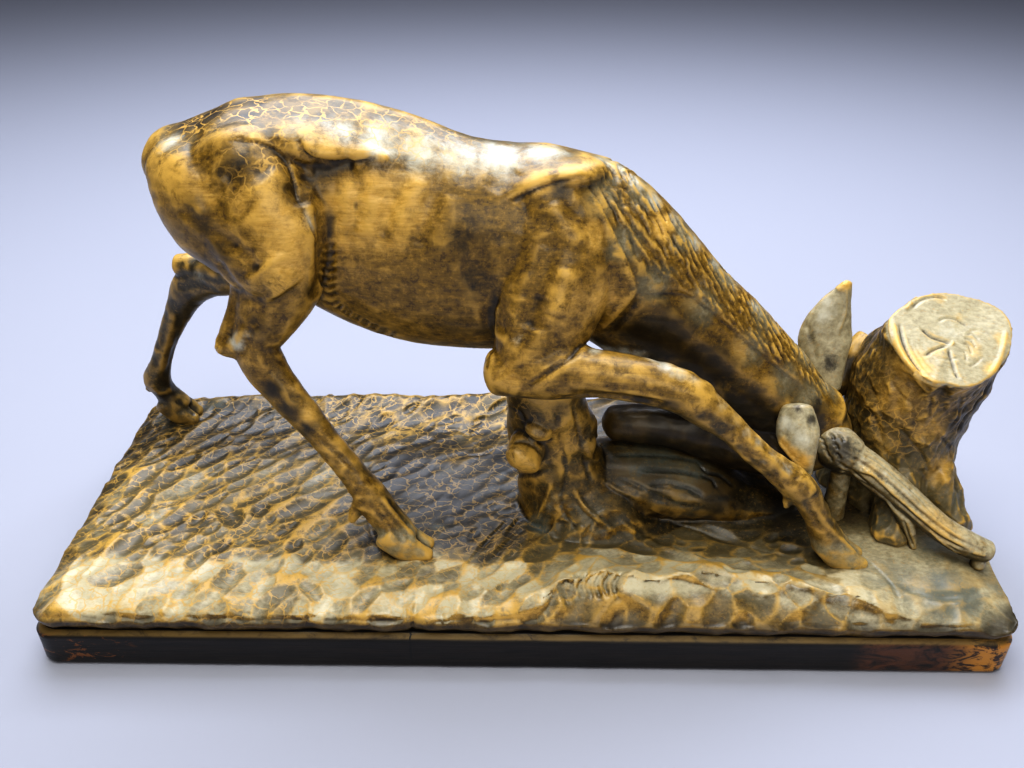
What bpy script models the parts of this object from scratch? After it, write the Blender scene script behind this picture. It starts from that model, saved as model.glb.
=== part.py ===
"""Carved wooden stag, thrashing a stump with its antlers, on the ground and plinth of the same block.

The stag, the ground it stands on, the two tree stumps and the plinth band are one carved piece of
wood, so they are one solid. The figure is lofted from sections carried along smooth paths, melted
together, and then worked with strokes, as a carver works a block: each stroke raises a ridge or
sinks a furrow along a path.
"""

import math

import bmesh
import bpy
import numpy as np

# Driving sizes, in metres.
FIGURE_LENGTH = 0.512
END_MARGIN = 0.0105
SIDE_MARGIN = 0.0268
BAND_HEIGHT = 0.0245
BAND_CHAMFER = 0.0035
GROOVE_HEIGHT = 0.0025
GROOVE_DEPTH = 0.004
GROUND_THICKNESS = 0.016
CORNER_RADIUS = 0.011
FOOT_ROUNDING = 0.0025

# One drawing unit is a millimetre at the size above. Every path, section and stroke of the free
# carving below is written in drawing units, so the figure keeps its pose at any length.
DRAWN_LENGTH = 512.0
DRAWN_SPREAD = 150.0
UNIT = FIGURE_LENGTH / DRAWN_LENGTH
# Where the middle of the plinth and the soles of the hooves are in the drawing.
DRAWN_MIDDLE = (1.0, -2.0)
DRAWN_GROUND = 44.0

PLINTH_LENGTH = FIGURE_LENGTH + 2.0 * END_MARGIN
PLINTH_DEPTH = DRAWN_SPREAD * UNIT + 2.0 * SIDE_MARGIN
GROUND_LEVEL = BAND_HEIGHT + GROOVE_HEIGHT + GROUND_THICKNESS

# Gouge cuts in the ground.
SCOOP_SPACING = 17.0
SCOOP_DEPTH = 1.6
SCOOP_STRETCH = 1.35
SEED = 7

# Fineness of the carving, in drawing units where it is a length.
FIGURE_VOXEL = 2.4
GROUND_VOXEL = 2.8
RELAX_SHARE = 0.5
FIGURE_RELAX_STEPS = 4
GROUND_RELAX_STEPS = 3
FIGURE_FACES = 6000
GROUND_FACES = 2900
SECTION_POINTS = 24
SECTION_SPACING = 5.0
STROKE_SPACING = 4.0
CAP_ANGLES = (72.0, 50.0, 25.0)
RIM_POINTS = 480

# The finish: stained and waxed wood.
WOOD_COLOUR = (0.30, 0.15, 0.045, 1.0)
WOOD_ROUGHNESS = 0.42


def placed(points):
    """Drawing units to metres: scaled, centred on the plinth and stood on the ground's level."""
    points = np.asarray(points, dtype=float)
    moved = points - np.array([*DRAWN_MIDDLE, DRAWN_GROUND])
    return moved * UNIT + np.array([0.0, 0.0, GROUND_LEVEL])


def smooth_path(rows, spacing):
    """A Catmull-Rom curve through rows of any width, sampled about one spacing apart."""
    rows = np.asarray(rows, dtype=float)
    padded = np.vstack([2 * rows[0] - rows[1], rows, 2 * rows[-1] - rows[-2]])
    samples = []
    for i in range(len(rows) - 1):
        a, b, c, d = padded[i:i + 4]
        count = max(2, int(np.linalg.norm(c[:3] - b[:3]) / spacing))
        t = np.linspace(0.0, 1.0, count, endpoint=False)[:, None]
        curve = 0.5 * (2 * b + (c - a) * t + (2 * a - 5 * b + 4 * c - d) * t ** 2
                       + (3 * b - a - 3 * c + d) * t ** 3)
        samples.append(curve)
    return np.vstack(samples + [rows[-1:]])


def unit(vectors):
    return vectors / np.maximum(np.linalg.norm(vectors, axis=-1, keepdims=True), 1e-9)


def loft(rows, side=(0.0, 1.0, 0.0), square=1.0, round_start=0.6, round_end=0.6):
    """A closed skin of elliptical sections: each row is x, y, z, half width along side, half depth.

    Both ends are rounded off by rings that shrink as a cosine while they step outwards as a sine.
    square under 1 fills the ellipse out towards a rectangle.
    """
    path = smooth_path(rows, SECTION_SPACING)
    centres, sizes = path[:, :3], path[:, 3:5]
    tangents = unit(np.gradient(centres, axis=0))
    caps = np.radians(CAP_ANGLES)
    for end, bulge in ((0, round_start), (-1, round_end)):
        outward = tangents[end] * (-1.0 if end == 0 else 1.0)
        reach = bulge * sizes[end].min()
        ring_centres = centres[end] + outward * (reach * np.sin(caps))[:, None]
        ring_sizes = sizes[end] * np.cos(caps)[:, None]
        ring_tangents = np.repeat(tangents[end][None], len(caps), axis=0)
        if end == 0:
            centres = np.vstack([ring_centres, centres])
            sizes = np.vstack([ring_sizes, sizes])
            tangents = np.vstack([ring_tangents, tangents])
        else:
            centres = np.vstack([centres, ring_centres[::-1]])
            sizes = np.vstack([sizes, ring_sizes[::-1]])
            tangents = np.vstack([tangents, ring_tangents])
    side = np.asarray(side, dtype=float)
    across = unit(side - (tangents @ side)[:, None] * tangents)
    upward = np.cross(tangents, across)
    turn = np.linspace(0.0, 2 * np.pi, SECTION_POINTS, endpoint=False)
    c = np.sign(np.cos(turn)) * np.abs(np.cos(turn)) ** square
    s = np.sign(np.sin(turn)) * np.abs(np.sin(turn)) ** square
    rings = (centres[:, None] + across[:, None] * (sizes[:, 0:1] * c)[..., None]
             + upward[:, None] * (sizes[:, 1:2] * s)[..., None])
    return skin(rings)


def skin(rings):
    """Vertices and faces of a stack of equal rings, closed by a fan at either end."""
    count, around = rings.shape[:2]
    vertices = np.vstack([rings.reshape(-1, 3), rings[0].mean(0), rings[-1].mean(0)])
    here = np.arange(count * around).reshape(count, around)
    beside = np.roll(here, -1, axis=1)
    quads = np.stack([here[:-1], beside[:-1], beside[1:], here[1:]], axis=-1).reshape(-1, 4)
    first, last = count * around, count * around + 1
    fans = [(first, b, a) for a, b in zip(here[0], beside[0])]
    fans += [(last, a, b) for a, b in zip(here[-1], beside[-1])]
    return vertices, [tuple(q) for q in quads] + fans


def torso():
    """Rows are x, middle y, top z, bottom z, half width: the barrel from the buttocks to the chest."""
    rows = np.array([
        (-184, 8, 267, 236, 16), (-174, 8, 272, 222, 25), (-160, 8, 277, 207, 30),
        (-140, 8, 281, 195, 33), (-118, 8, 283, 182, 33), (-98, 7, 281, 169, 33),
        (-76, 6, 275, 157, 35), (-54, 5, 267, 149, 37), (-30, 4, 261, 147, 38),
        (-6, 3, 259, 148, 37), (16, 2, 260, 152, 34), (34, 1, 254, 162, 30), (48, 0, 239, 176, 25),
    ], dtype=float)
    half = 0.5 * (rows[:, 2] - rows[:, 3])
    middle = 0.5 * (rows[:, 2] + rows[:, 3])
    return loft(np.column_stack([rows[:, 0], rows[:, 1], middle, rows[:, 4], half]), square=0.92)


def neck():
    """From the withers down to the poll, deep at the chest and slim behind the ears."""
    return loft([(2, 2, 213, 28, 44), (24, 1, 208, 30, 48), (47, 0, 195, 29, 43),
                 (77, -1, 169, 27, 38), (107, -2, 145, 25, 35), (135, -3, 125, 23, 29),
                 (157, -4, 109, 21, 23), (172, -4, 102, 19, 19)])


def head():
    """Turned under: poll at the right, muzzle back below the chest, brow down and jaw up."""
    return loft([(178, -4, 98, 20, 20), (166, -4, 92, 23, 24), (148, -3, 89, 24, 25),
                 (128, -2, 88, 21, 22), (106, 0, 89, 15, 17), (84, 2, 91, 12, 13),
                 (66, 3, 92, 11.5, 12), (56, 4, 91, 10.5, 11)], round_end=0.9)


def bony_points():
    """The shelf of the loin out to the hip bone, the withers over the shoulder blade, and the rump."""
    loin = [(-150, -4, 262, 16, 12), (-126, -5, 264, 18, 12), (-106, -6, 264, 19, 12),
            (-92, -7, 262, 18, 10), (-82, -10, 261, 14, 8), (-74, -15, 260, 8, 5), (-68, -20, 259, 3, 3)]
    withers = [(-14, -14, 240, 8, 5), (-4, -12, 244, 13, 8), (6, -9, 248, 16, 9), (16, -8, 250, 17, 8),
               (26, -8, 252, 16, 6), (34, -6, 251, 10, 5)]
    rump = [(-175, -4, 250, 16, 16), (-165, -11, 242, 21, 24), (-152, -16, 230, 22, 28),
            (-141, -18, 216, 19, 24)]
    bones = []
    for rows, middle, drop in ((loin, 7.0, 4.0), (withers, 2.0, 12.0), (rump, 8.0, 4.0)):
        bones.append(loft(rows))
        bones.append(loft([(x, 2.0 * middle - y, z - drop, a, b) for x, y, z, a, b in rows]))
    return bones


def near_hind_leg():
    return [
        loft([(-138, -8, 256, 24, 26), (-134, -18, 240, 22, 32), (-130, -24, 224, 20, 34),
              (-126, -28, 208, 18, 27), (-125, -30, 194, 15, 20), (-132, -33, 180, 12, 16),
              (-139, -35, 167, 9, 12), (-136, -37, 154, 8, 12), (-127, -40, 140, 7.5, 10.5),
              (-114, -43, 122, 7, 8.6), (-102, -46, 105, 7, 7.8), (-91, -49, 89, 7.5, 8),
              (-83, -51, 76, 8.5, 9.5), (-76, -53, 64, 9, 9.5), (-68, -55, 52, 10, 9.5)]),
        loft([(-136, -36, 163, 7, 9), (-148, -35, 165, 6.5, 8), (-157, -34, 165, 5, 6.5)]),
        loft([(-138, -26, 206, 7, 10), (-146, -30, 186, 5, 6), (-153, -33, 171, 5, 5)]),
        loft([(-90, -52, 74, 3, 4), (-93, -53, 64, 2, 3)]),
    ]


def far_hind_leg():
    return [
        loft([(-140, 22, 246, 22, 30), (-138, 32, 222, 20, 31), (-142, 38, 202, 17, 24),
              (-154, 44, 182, 14, 19), (-172, 50, 167, 11, 15.5), (-192, 57, 158, 9, 13),
              (-205, 62, 149, 8.5, 12), (-214, 66, 136, 7.5, 9.5), (-223, 68, 121, 7, 7.6),
              (-232, 69, 104, 6.5, 6.5), (-239, 70, 88, 7, 7), (-244, 71, 76, 8.5, 9),
              (-241, 72, 66, 7, 7.5), (-236, 73, 54, 9, 10)]),
        loft([(-200, 60, 160, 6, 6), (-209, 59, 169, 5.5, 5.5)]),
        loft([(-248, 72, 72, 3, 3.5), (-251, 72, 64, 2, 2.5)]),
    ]


def near_foreleg():
    return [
        loft([(8, -10, 244, 16, 20), (12, -18, 226, 16, 25), (14, -24, 206, 16, 28),
              (10, -29, 186, 16, 28), (4, -33, 168, 16, 24), (-4, -37, 154, 14, 15)]),
        loft([(-16, -38, 152, 10, 13), (10, -42, 155, 12, 15), (38, -46, 157, 11, 13),
              (62, -49, 154, 10.5, 12), (80, -51, 149, 10.5, 11.5), (93, -53, 140, 9, 10),
              (106, -54, 130, 7, 8), (119, -56, 118, 6.5, 7.2), (132, -57, 107, 7, 7.5),
              (143, -58, 98, 8.5, 9), (151, -59, 90, 8, 8.5), (158, -60, 79, 7.5, 7.5),
              (164, -60, 68, 8.5, 8), (170, -60, 57, 9.5, 10)]),
        loft([(136, -60, 92, 3, 4), (135, -61, 83, 2, 3)]),
    ]


def far_foreleg():
    return [
        loft([(8, 12, 236, 16, 22), (10, 22, 208, 16, 27), (6, 28, 182, 16, 24),
              (-2, 32, 158, 13, 15)]),
        loft([(-10, 34, 154, 10, 13), (12, 36, 155, 11, 13), (40, 38, 154, 10, 11),
              (64, 40, 148, 9, 9.5), (82, 42, 142, 9, 9), (96, 44, 130, 7.5, 8),
              (112, 46, 114, 6.5, 7), (126, 48, 100, 7, 7.5), (136, 50, 88, 8.5, 8.5),
              (143, 51, 76, 7.5, 7.5), (150, 52, 64, 8.5, 8.5), (156, 52, 54, 9, 10)]),
    ]


def hooves():
    """Two claws to a foot, each a short wedge that widens to its sole."""
    feet = [(-66, -56, 28), (-234, 74, 22), (178, -60, 26), (160, 52, 24)]
    splay = 4.4
    claws = []
    for x, y, length in feet:
        for shift in (-splay, splay):
            claws.append(loft([(x - 0.38 * length, y + shift, 58, 5.4, 8),
                               (x, y + shift, 49, 6.0, 8.5),
                               (x + 0.42 * length, y + shift, 44, 4.6, 4.5)]))
    return claws


def ears():
    """Each ear is a leaf, thick at the root and pointed at the tip."""
    near = loft([(150, -22, 128, 4.5, 6), (149, -32, 119, 5.5, 11), (150, -39, 109, 5.5, 13),
                 (154, -43, 98, 4, 9), (157, -45, 89, 2.0, 2.5)], side=(0.2, 1.0, 0.5))
    far = loft([(180, 12, 112, 5, 7), (177, 17, 126, 5, 11.5), (175, 22, 141, 5, 15.5),
                (178, 26, 157, 4.5, 11), (184, 29, 173, 2.0, 2.5)], side=(0.1, 1.0, 0.2))
    return [near, far]


def antlers():
    """The near beam lies along the ground to its tip, and the far one is broken off short."""
    across = (0.2, 0.4, 1.0)
    burr = loft([(172, -18, 98, 11, 11), (178, -22, 94, 13, 13), (184, -26, 91, 12, 12)], side=across)
    beam = loft([(178, -22, 95, 9, 9), (192, -30, 88, 9.5, 9.5), (206, -38, 80, 9, 9.5),
                 (220, -46, 71, 8, 9), (234, -54, 62, 7.5, 8), (248, -60, 56, 7.5, 7.5),
                 (258, -62, 53, 6.5, 6.5)], side=across)
    tine = loft([(206, -40, 78, 6, 6), (212, -46, 68, 4.5, 5), (218, -50, 58, 3.5, 4),
                 (222, -53, 47, 2, 2.5)], side=across)
    prop = loft([(182, -25, 90, 5.5, 6), (183, -26, 70, 5, 6), (184, -26, 44, 5.5, 7)],
                side=(0.0, 1.0, 0.0))
    stub = loft([(254, -62, 52, 4, 4), (255, -64, 44, 4, 4)])
    far = loft([(178, 14, 104, 9, 9), (188, 20, 116, 8.5, 9), (197, 26, 128, 8, 8.5),
                (204, 30, 136, 7, 7)], side=(0.0, 1.0, 0.3), round_end=0.1)
    link = loft([(196, 20, 122, 7, 8), (208, 16, 124, 6, 7), (220, 8, 124, 6, 7)])
    return [burr, beam, tine, prop, stub, far, link]


def tree_stump():
    """The sawn stump at the end of the block, its cut face tipped to the front, with root flares."""
    trunk = loft([(227, 0, 30, 40, 42), (226, 0, 50, 34, 34), (225, 2, 76, 31, 32),
                  (225, 6, 102, 32, 35), (228, 7, 124, 33, 37), (232, 3, 142, 31, 35),
                  (233, -4, 157, 31, 33)], round_end=0.0)
    foot_x, foot_y = 228.0, -4.0
    flares = [(252, 18, 20), (266, -14, 12), (256, -34, 12), (212, -42, 14), (196, 12, 16), (222, 36, 18)]
    roots = [loft([(foot_x, foot_y, 92, 10, 10), (0.5 * (x + foot_x), 0.5 * (y + foot_y), 70, 13, 13),
                   (x, y, 46, size, 0.8 * size)]) for x, y, size in flares]
    return [trunk] + roots


def prop_stump():
    """The knotted stump that carries the chest."""
    trunk = loft([(34, -12, 34, 36, 52), (31, -12, 46, 28, 38), (25, -12, 62, 22, 28),
                  (19, -12, 80, 20, 25), (16, -12, 98, 19, 26), (12, -16, 118, 18, 22),
                  (10, -20, 138, 15, 20)])
    knots = [loft([(2, -28, 98, 9, 11), (-1, -38, 94, 8, 11)]),
             loft([(8, -28, 113, 6, 9), (7, -34, 111, 5, 8)]),
             loft([(32, -20, 94, 8, 10), (37, -22, 92, 6, 8)])]
    return [trunk] + knots


def fallen_log():
    """A rounded log under the head."""
    log = loft([(30, -2, 54, 20, 20), (50, -4, 58, 26, 22), (78, -4, 57, 28, 22), (106, -4, 54, 28, 20),
                (130, -2, 46, 26, 15), (160, 0, 42, 22, 10)])
    return [log]


def build_mesh(name, skins, voxel, relax_steps):
    """Join closed skins, melt them into one surface and relax it."""
    vertices, faces, offset = [], [], 0
    for points, polygons in skins:
        vertices.append(placed(points))
        faces += [tuple(int(i) + offset for i in polygon) for polygon in polygons]
        offset += len(points)
    mesh = bpy.data.meshes.new(name)
    mesh.from_pydata(np.vstack(vertices).tolist(), [], faces)
    obj = bpy.data.objects.new(name, mesh)
    bpy.context.scene.collection.objects.link(obj)
    remesh = obj.modifiers.new("melt", "REMESH")
    remesh.mode = "VOXEL"
    remesh.voxel_size = voxel * UNIT
    relax = obj.modifiers.new("relax", "SMOOTH")
    relax.factor = RELAX_SHARE
    relax.iterations = relax_steps
    return applied(obj)


def applied(obj):
    """The object with its modifiers made part of its mesh."""
    graph = bpy.context.evaluated_depsgraph_get()
    mesh = bpy.data.meshes.new_from_object(obj.evaluated_get(graph))
    old = obj.data
    obj.modifiers.clear()
    obj.data = mesh
    bpy.data.meshes.remove(old)
    return obj


def coordinates(mesh):
    points = np.empty(len(mesh.vertices) * 3)
    mesh.vertices.foreach_get("co", points)
    return points.reshape(-1, 3)


def drawing(points):
    """Metres back to drawing units."""
    return (points - np.array([0.0, 0.0, GROUND_LEVEL])) / UNIT + np.array([*DRAWN_MIDDLE, DRAWN_GROUND])


def normals(mesh):
    directions = np.empty(len(mesh.vertices) * 3)
    mesh.vertex_normals.foreach_get("vector", directions)
    return directions.reshape(-1, 3)


def stroke_weight(points, path, radius):
    """1 on the path, falling to 0 at the radius as the square of one less the squared share."""
    path = smooth_path(path, STROKE_SPACING)
    near = np.full(len(points), np.inf)
    low, high = path.min(0) - radius, path.max(0) + radius
    inside = np.all((points > low) & (points < high), axis=1)
    picked = points[inside]
    best = np.full(len(picked), np.inf)
    for a, b in zip(path[:-1], path[1:]):
        along = b - a
        share = np.clip((picked - a) @ along / max(along @ along, 1e-9), 0.0, 1.0)
        best = np.minimum(best, np.linalg.norm(picked - a - share[:, None] * along, axis=1))
    near[inside] = best
    return np.clip(1.0 - (near / radius) ** 2, 0.0, 1.0) ** 2


def carve(obj, strokes):
    """Move the surface along its normals: each stroke is path, radius, height (negative sinks)."""
    mesh = obj.data
    points = drawing(coordinates(mesh))
    outward = normals(mesh)
    for path, radius, height in strokes:
        weight = stroke_weight(points, path, radius)
        points = points + outward * (weight * height)[:, None]
    mesh.vertices.foreach_set("co", placed(points).ravel())
    mesh.update()


def body_strokes():
    """Bones, muscles and hollows of the near side, then plainer ones on the far side."""
    near = [
        ([(-96, -30, 248), (-82, -32, 247), (-66, -32, 245)], 9, -3.4),
        ([(-142, -28, 252), (-128, -34, 238)], 14, -2.2),
        ([(-94, -32, 240), (-96, -36, 216), (-101, -37, 190)], 10, -4.2),
        ([(-2, -36, 232), (14, -36, 237), (28, -32, 240)], 8, -2.6),
        ([(34, -28, 244), (42, -34, 226), (46, -36, 204), (40, -40, 186)], 9, 1.6),
        ([(-28, -40, 220), (-20, -42, 196), (-16, -40, 174)], 12, -3.0),
        ([(-166, -24, 244), (-156, -32, 226), (-146, -36, 206)], 9, -1.4),
        ([(-128, -40, 214), (-118, -44, 200)], 16, 3.0),
        ([(-150, -38, 214), (-140, -42, 196)], 6, -1.4),
        ([(6, -46, 200), (2, -48, 182)], 9, -2.0),
        ([(20, -44, 214), (14, -48, 190)], 12, 2.5),
        ([(64, -24, 200), (98, -24, 172), (134, -24, 144), (160, -22, 126)], 10, -2.6),
        ([(20, -56, 150), (50, -58, 149), (72, -58, 146)], 5, -1.4),
    ]
    ribs = [([(x + 8, -36, 238), (x, -42, 214), (x - 4, -42, 192)], 6, 0.9) for x in (-78, -62, -46, -30)]
    far = [([(x, 14 - y, z) for x, y, z in path], radius, 0.7 * height) for path, radius, height in near[:12]]
    spine = [([(-170, 8, 276), (-118, 8, 286), (-60, 6, 272), (0, 3, 262)], 8, 1.4)]
    return near + ribs + far + spine


def bank_line(x):
    """Where the front bank's rim runs: its distance to the front and its rise over the ground."""
    stations = [-270, -60, -12, 9, 17, 42, 63, 96, 127, 148, 173, 191, 215, 270]
    places = [-98, -99, -99, -95, -87, -80, -86, -81, -84, -89, -92, -96, -99, -99]
    rises = [-1, -1, 0, 4, 8, 12, 10, 11, 9, 8, 7, 3, -2, -5]
    return np.interp(x, stations, places), np.interp(x, stations, rises)


def ground_height(x, y):
    """Height over the ground's level: swells, the dip by the log, and the front bank's steep face."""
    mounds = [
        (-24, 92, 40, 16, 10.0), (-100, 96, 50, 20, 9.0), (-190, 98, 50, 20, 7.0), (60, 90, 60, 24, 8.0),
        (150, 80, 60, 24, 8.0), (-60, 30, 50, 30, 3.0), (-120, -60, 60, 24, 1.0),
        (120, -42, 60, 14, -3.0), (228, -10, 60, 50, 6.0),
    ]
    height = np.zeros_like(x)
    for cx, cy, rx, ry, rise in mounds:
        height = height + rise * np.exp(-((x - cx) / rx) ** 2 - ((y - cy) / ry) ** 2)
    rim, rise = bank_line(x)
    face_foot, slope_behind, drop = 102.0, 17.0, 6.0
    behind = np.maximum(y - rim, 0.0)
    before = np.clip((rim - y) / np.maximum(rim + face_foot, 1.0), 0.0, 1.0)
    height = height + rise * np.exp(-(behind / slope_behind) ** 2)
    return height - before ** 0.75 * (rise + drop)


def rounded_rectangle(half_length, half_depth, radius, count):
    """Points round a rectangle, anticlockwise, with its corners pulled in to arcs of the radius."""
    half = np.array([half_length, half_depth])
    corners = half * np.array([(1, -1), (1, 1), (-1, 1), (-1, -1), (1, -1)])
    lengths = np.linalg.norm(np.diff(corners, axis=0), axis=1)
    stops = np.concatenate([[0.0], np.cumsum(lengths)])
    walk = np.linspace(0.0, stops[-1], count, endpoint=False)
    points = np.column_stack([np.interp(walk, stops, corners[:, axis]) for axis in (0, 1)])
    core = np.clip(points, radius - half, half - radius)
    return core + radius * unit(points - core)


def ground_block():
    """The carved earth: rings from the middle out to the lip, down its face and in under it."""
    edge = rounded_rectangle(0.5 * PLINTH_LENGTH / UNIT, 0.5 * PLINTH_DEPTH / UNIT,
                             CORNER_RADIUS / UNIT, RIM_POINTS)
    wander = 0.7 * np.sin(edge[:, 0] / 11.0) + 0.5 * np.sin(edge[:, 0] / 4.7 + edge[:, 1] / 6.0)
    edge = edge - unit(edge) * (0.9 + wander)[:, None]
    thickness = GROUND_THICKNESS / UNIT
    groove_floor = thickness + GROOVE_HEIGHT / UNIT
    inset = GROOVE_DEPTH / UNIT
    rim_starts, rim_drop = 0.93, 0.35
    rings = []
    for share in np.concatenate([np.linspace(0.02, 0.96, 60), [0.98, 0.992]]):
        x, y = (edge * share).T
        fall = np.clip((share - rim_starts) / (1.0 - rim_starts), 0.0, 1.0) ** 2 * rim_drop * thickness
        rings.append(np.column_stack([x, y, ground_height(x, y) - fall]))
    lip = [(0.55 * thickness, 0.0), (0.8 * thickness, 0.0), (thickness, 0.15 * inset),
           (groove_floor, inset), (groove_floor + 0.4 * thickness, inset)]
    for down, step_in in lip:
        shrink = 1.0 - step_in / (0.5 * PLINTH_DEPTH / UNIT)
        rings.append(np.column_stack([edge * shrink, np.full(len(edge), -down)]))
    rings = np.array(rings) + np.array([*DRAWN_MIDDLE, DRAWN_GROUND])
    return skin(rings[::-1])


def scoops(obj):
    """Gouge cuts: the surface sinks to the lowest of many shallow dishes, so ridges stay between."""
    mesh = obj.data
    points = drawing(coordinates(mesh))
    outward = normals(mesh)
    random = np.random.default_rng(SEED)
    half = 0.5 * np.array([PLINTH_LENGTH, PLINTH_DEPTH]) / UNIT
    columns, rows = (2 * half / SCOOP_SPACING).astype(int)
    grid = np.stack(np.meshgrid(np.arange(columns), np.arange(rows)), -1).reshape(-1, 2)
    middles = (grid + random.uniform(0.1, 0.9, grid.shape)) * SCOOP_SPACING - half
    turns = random.uniform(-0.5, 0.9, len(middles))
    best = np.full(len(points), np.inf)
    for (cx, cy), angle in zip(middles, turns):
        dx, dy = points[:, 0] - cx, points[:, 1] - cy
        u = (dx * math.cos(angle) + dy * math.sin(angle)) / SCOOP_STRETCH
        v = -dx * math.sin(angle) + dy * math.cos(angle)
        best = np.minimum(best, u * u + v * v)
    mean_rise, top_rise = 0.6, 1.6
    dish = np.clip(best / (0.5 * SCOOP_SPACING) ** 2, 0.0, top_rise) - mean_rise
    fade_starts, fade_ends = DRAWN_GROUND - 14.0, DRAWN_GROUND - 8.0
    level = np.clip((points[:, 2] - fade_starts) / (fade_ends - fade_starts), 0.0, 1.0)
    points = points + outward * (dish * SCOOP_DEPTH * level)[:, None]
    mesh.vertices.foreach_set("co", placed(points).ravel())
    mesh.update()


def thinned(obj, faces):
    """Collapse edges until about this many triangles are left."""
    triangles = sum(len(p.vertices) - 2 for p in obj.data.polygons)
    if triangles > faces:
        thin = obj.modifiers.new("thin", "DECIMATE")
        thin.ratio = faces / triangles
        applied(obj)
    return obj


def plinth_band():
    """The plain band: a rounded slab with a soft foot and a chamfer up to the groove."""
    bpy.ops.mesh.primitive_cube_add(size=1.0, location=(0.0, 0.0, 0.5 * BAND_HEIGHT))
    obj = bpy.context.object
    obj.scale = (PLINTH_LENGTH, PLINTH_DEPTH, BAND_HEIGHT)
    bpy.ops.object.transform_apply(location=True, scale=True)
    band = bmesh.new()
    band.from_mesh(obj.data)
    middle = 0.5 * BAND_HEIGHT
    upright = [e for e in band.edges if min(v.co.z for v in e.verts) < middle < max(v.co.z for v in e.verts)]
    bmesh.ops.bevel(band, geom=upright, offset=CORNER_RADIUS, segments=6, profile=0.5, affect="EDGES")
    rim = [e for e in band.edges if min(v.co.z for v in e.verts) > middle]
    bmesh.ops.bevel(band, geom=rim, offset=BAND_CHAMFER, segments=1, affect="EDGES")
    foot = [e for e in band.edges if max(v.co.z for v in e.verts) < middle]
    bmesh.ops.bevel(band, geom=foot, offset=FOOT_ROUNDING, segments=2, profile=0.5, affect="EDGES")
    band.to_mesh(obj.data)
    band.free()
    obj.name = "plinth_band"
    return obj


def united(base, others):
    """One solid from the base and the others."""
    for other in others:
        union = base.modifiers.new("union", "BOOLEAN")
        union.operation = "UNION"
        union.solver = "EXACT"
        union.object = other
        applied(base)
        bpy.data.objects.remove(other)
    return base


def stained_wood():
    material = bpy.data.materials.new("stained_wood")
    material.use_nodes = True
    shader = material.node_tree.nodes["Principled BSDF"]
    shader.inputs["Base Color"].default_value = WOOD_COLOUR
    shader.inputs["Roughness"].default_value = WOOD_ROUGHNESS
    shader.inputs["Metallic"].default_value = 0.0
    return material


def main():
    for old in list(bpy.data.objects):
        bpy.data.objects.remove(old)
    legs = near_hind_leg() + far_hind_leg() + near_foreleg() + far_foreleg() + hooves()
    stag = [torso(), neck(), head()] + bony_points() + legs + ears() + antlers()
    figure = build_mesh("figure", stag, FIGURE_VOXEL, FIGURE_RELAX_STEPS)
    carve(figure, body_strokes())
    thinned(figure, FIGURE_FACES)
    earth = [ground_block()] + tree_stump() + prop_stump() + fallen_log()
    ground = build_mesh("ground", earth, GROUND_VOXEL, GROUND_RELAX_STEPS)
    scoops(ground)
    thinned(ground, GROUND_FACES)
    carving = united(plinth_band(), [ground, figure])
    carving.name = "stag_carving"
    carving.data.materials.clear()
    carving.data.materials.append(stained_wood())
    group = bpy.data.collections.new("carved_wooden_stag")
    bpy.context.scene.collection.children.link(group)
    for owner in list(carving.users_collection):
        owner.objects.unlink(carving)
    group.objects.link(carving)


main()
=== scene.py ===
"""Looks of the carved wooden stag: the forms of the solid cut finer, in stained and waxed wood.

Lengths of the free carving are drawing units, one to a millimetre, with heights counted from the plinth's
underside; `placed` turns them into metres in the frame. A mark that the photograph shows is given by its
pixels there, in a frame of 1024 by 768, and is found on the carving by a ray through each pixel.
"""

import math

import bpy
import numpy as np
from mathutils import Matrix, Vector
from mathutils.bvhtree import BVHTree


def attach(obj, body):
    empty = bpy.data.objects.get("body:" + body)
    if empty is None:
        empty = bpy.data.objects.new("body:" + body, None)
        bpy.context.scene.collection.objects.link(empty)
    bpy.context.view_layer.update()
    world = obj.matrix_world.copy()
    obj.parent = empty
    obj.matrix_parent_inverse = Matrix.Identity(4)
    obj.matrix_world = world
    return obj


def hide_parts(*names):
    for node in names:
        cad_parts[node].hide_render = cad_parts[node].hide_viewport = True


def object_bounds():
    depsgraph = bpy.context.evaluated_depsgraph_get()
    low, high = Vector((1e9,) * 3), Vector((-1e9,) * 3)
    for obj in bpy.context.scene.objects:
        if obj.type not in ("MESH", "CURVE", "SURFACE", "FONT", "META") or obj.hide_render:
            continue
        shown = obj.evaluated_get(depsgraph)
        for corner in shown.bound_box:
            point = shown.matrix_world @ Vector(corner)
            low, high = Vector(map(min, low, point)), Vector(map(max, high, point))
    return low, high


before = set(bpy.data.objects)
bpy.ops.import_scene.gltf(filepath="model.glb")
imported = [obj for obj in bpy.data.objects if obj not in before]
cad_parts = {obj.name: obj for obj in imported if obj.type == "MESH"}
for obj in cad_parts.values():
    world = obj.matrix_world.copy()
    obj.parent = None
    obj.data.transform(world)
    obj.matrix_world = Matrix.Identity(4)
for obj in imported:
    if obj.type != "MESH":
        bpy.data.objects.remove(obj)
solid_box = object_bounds()

# Sizes of the solid, in metres.
PLINTH_LENGTH = 0.533
PLINTH_DEPTH = 0.2036
BAND_HEIGHT = 0.0245
BAND_CHAMFER = 0.0035
GROOVE_HEIGHT = 0.0025
GROOVE_DEPTH = 0.004
GROUND_THICKNESS = 0.016
CORNER_RADIUS = 0.011
FOOT_ROUNDING = 0.0025
GROUND_LEVEL = BAND_HEIGHT + GROOVE_HEIGHT + GROUND_THICKNESS
UNIT = 0.001
DRAWN_MIDDLE = (1.0, -2.0)
DRAWN_GROUND = 44.0

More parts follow.
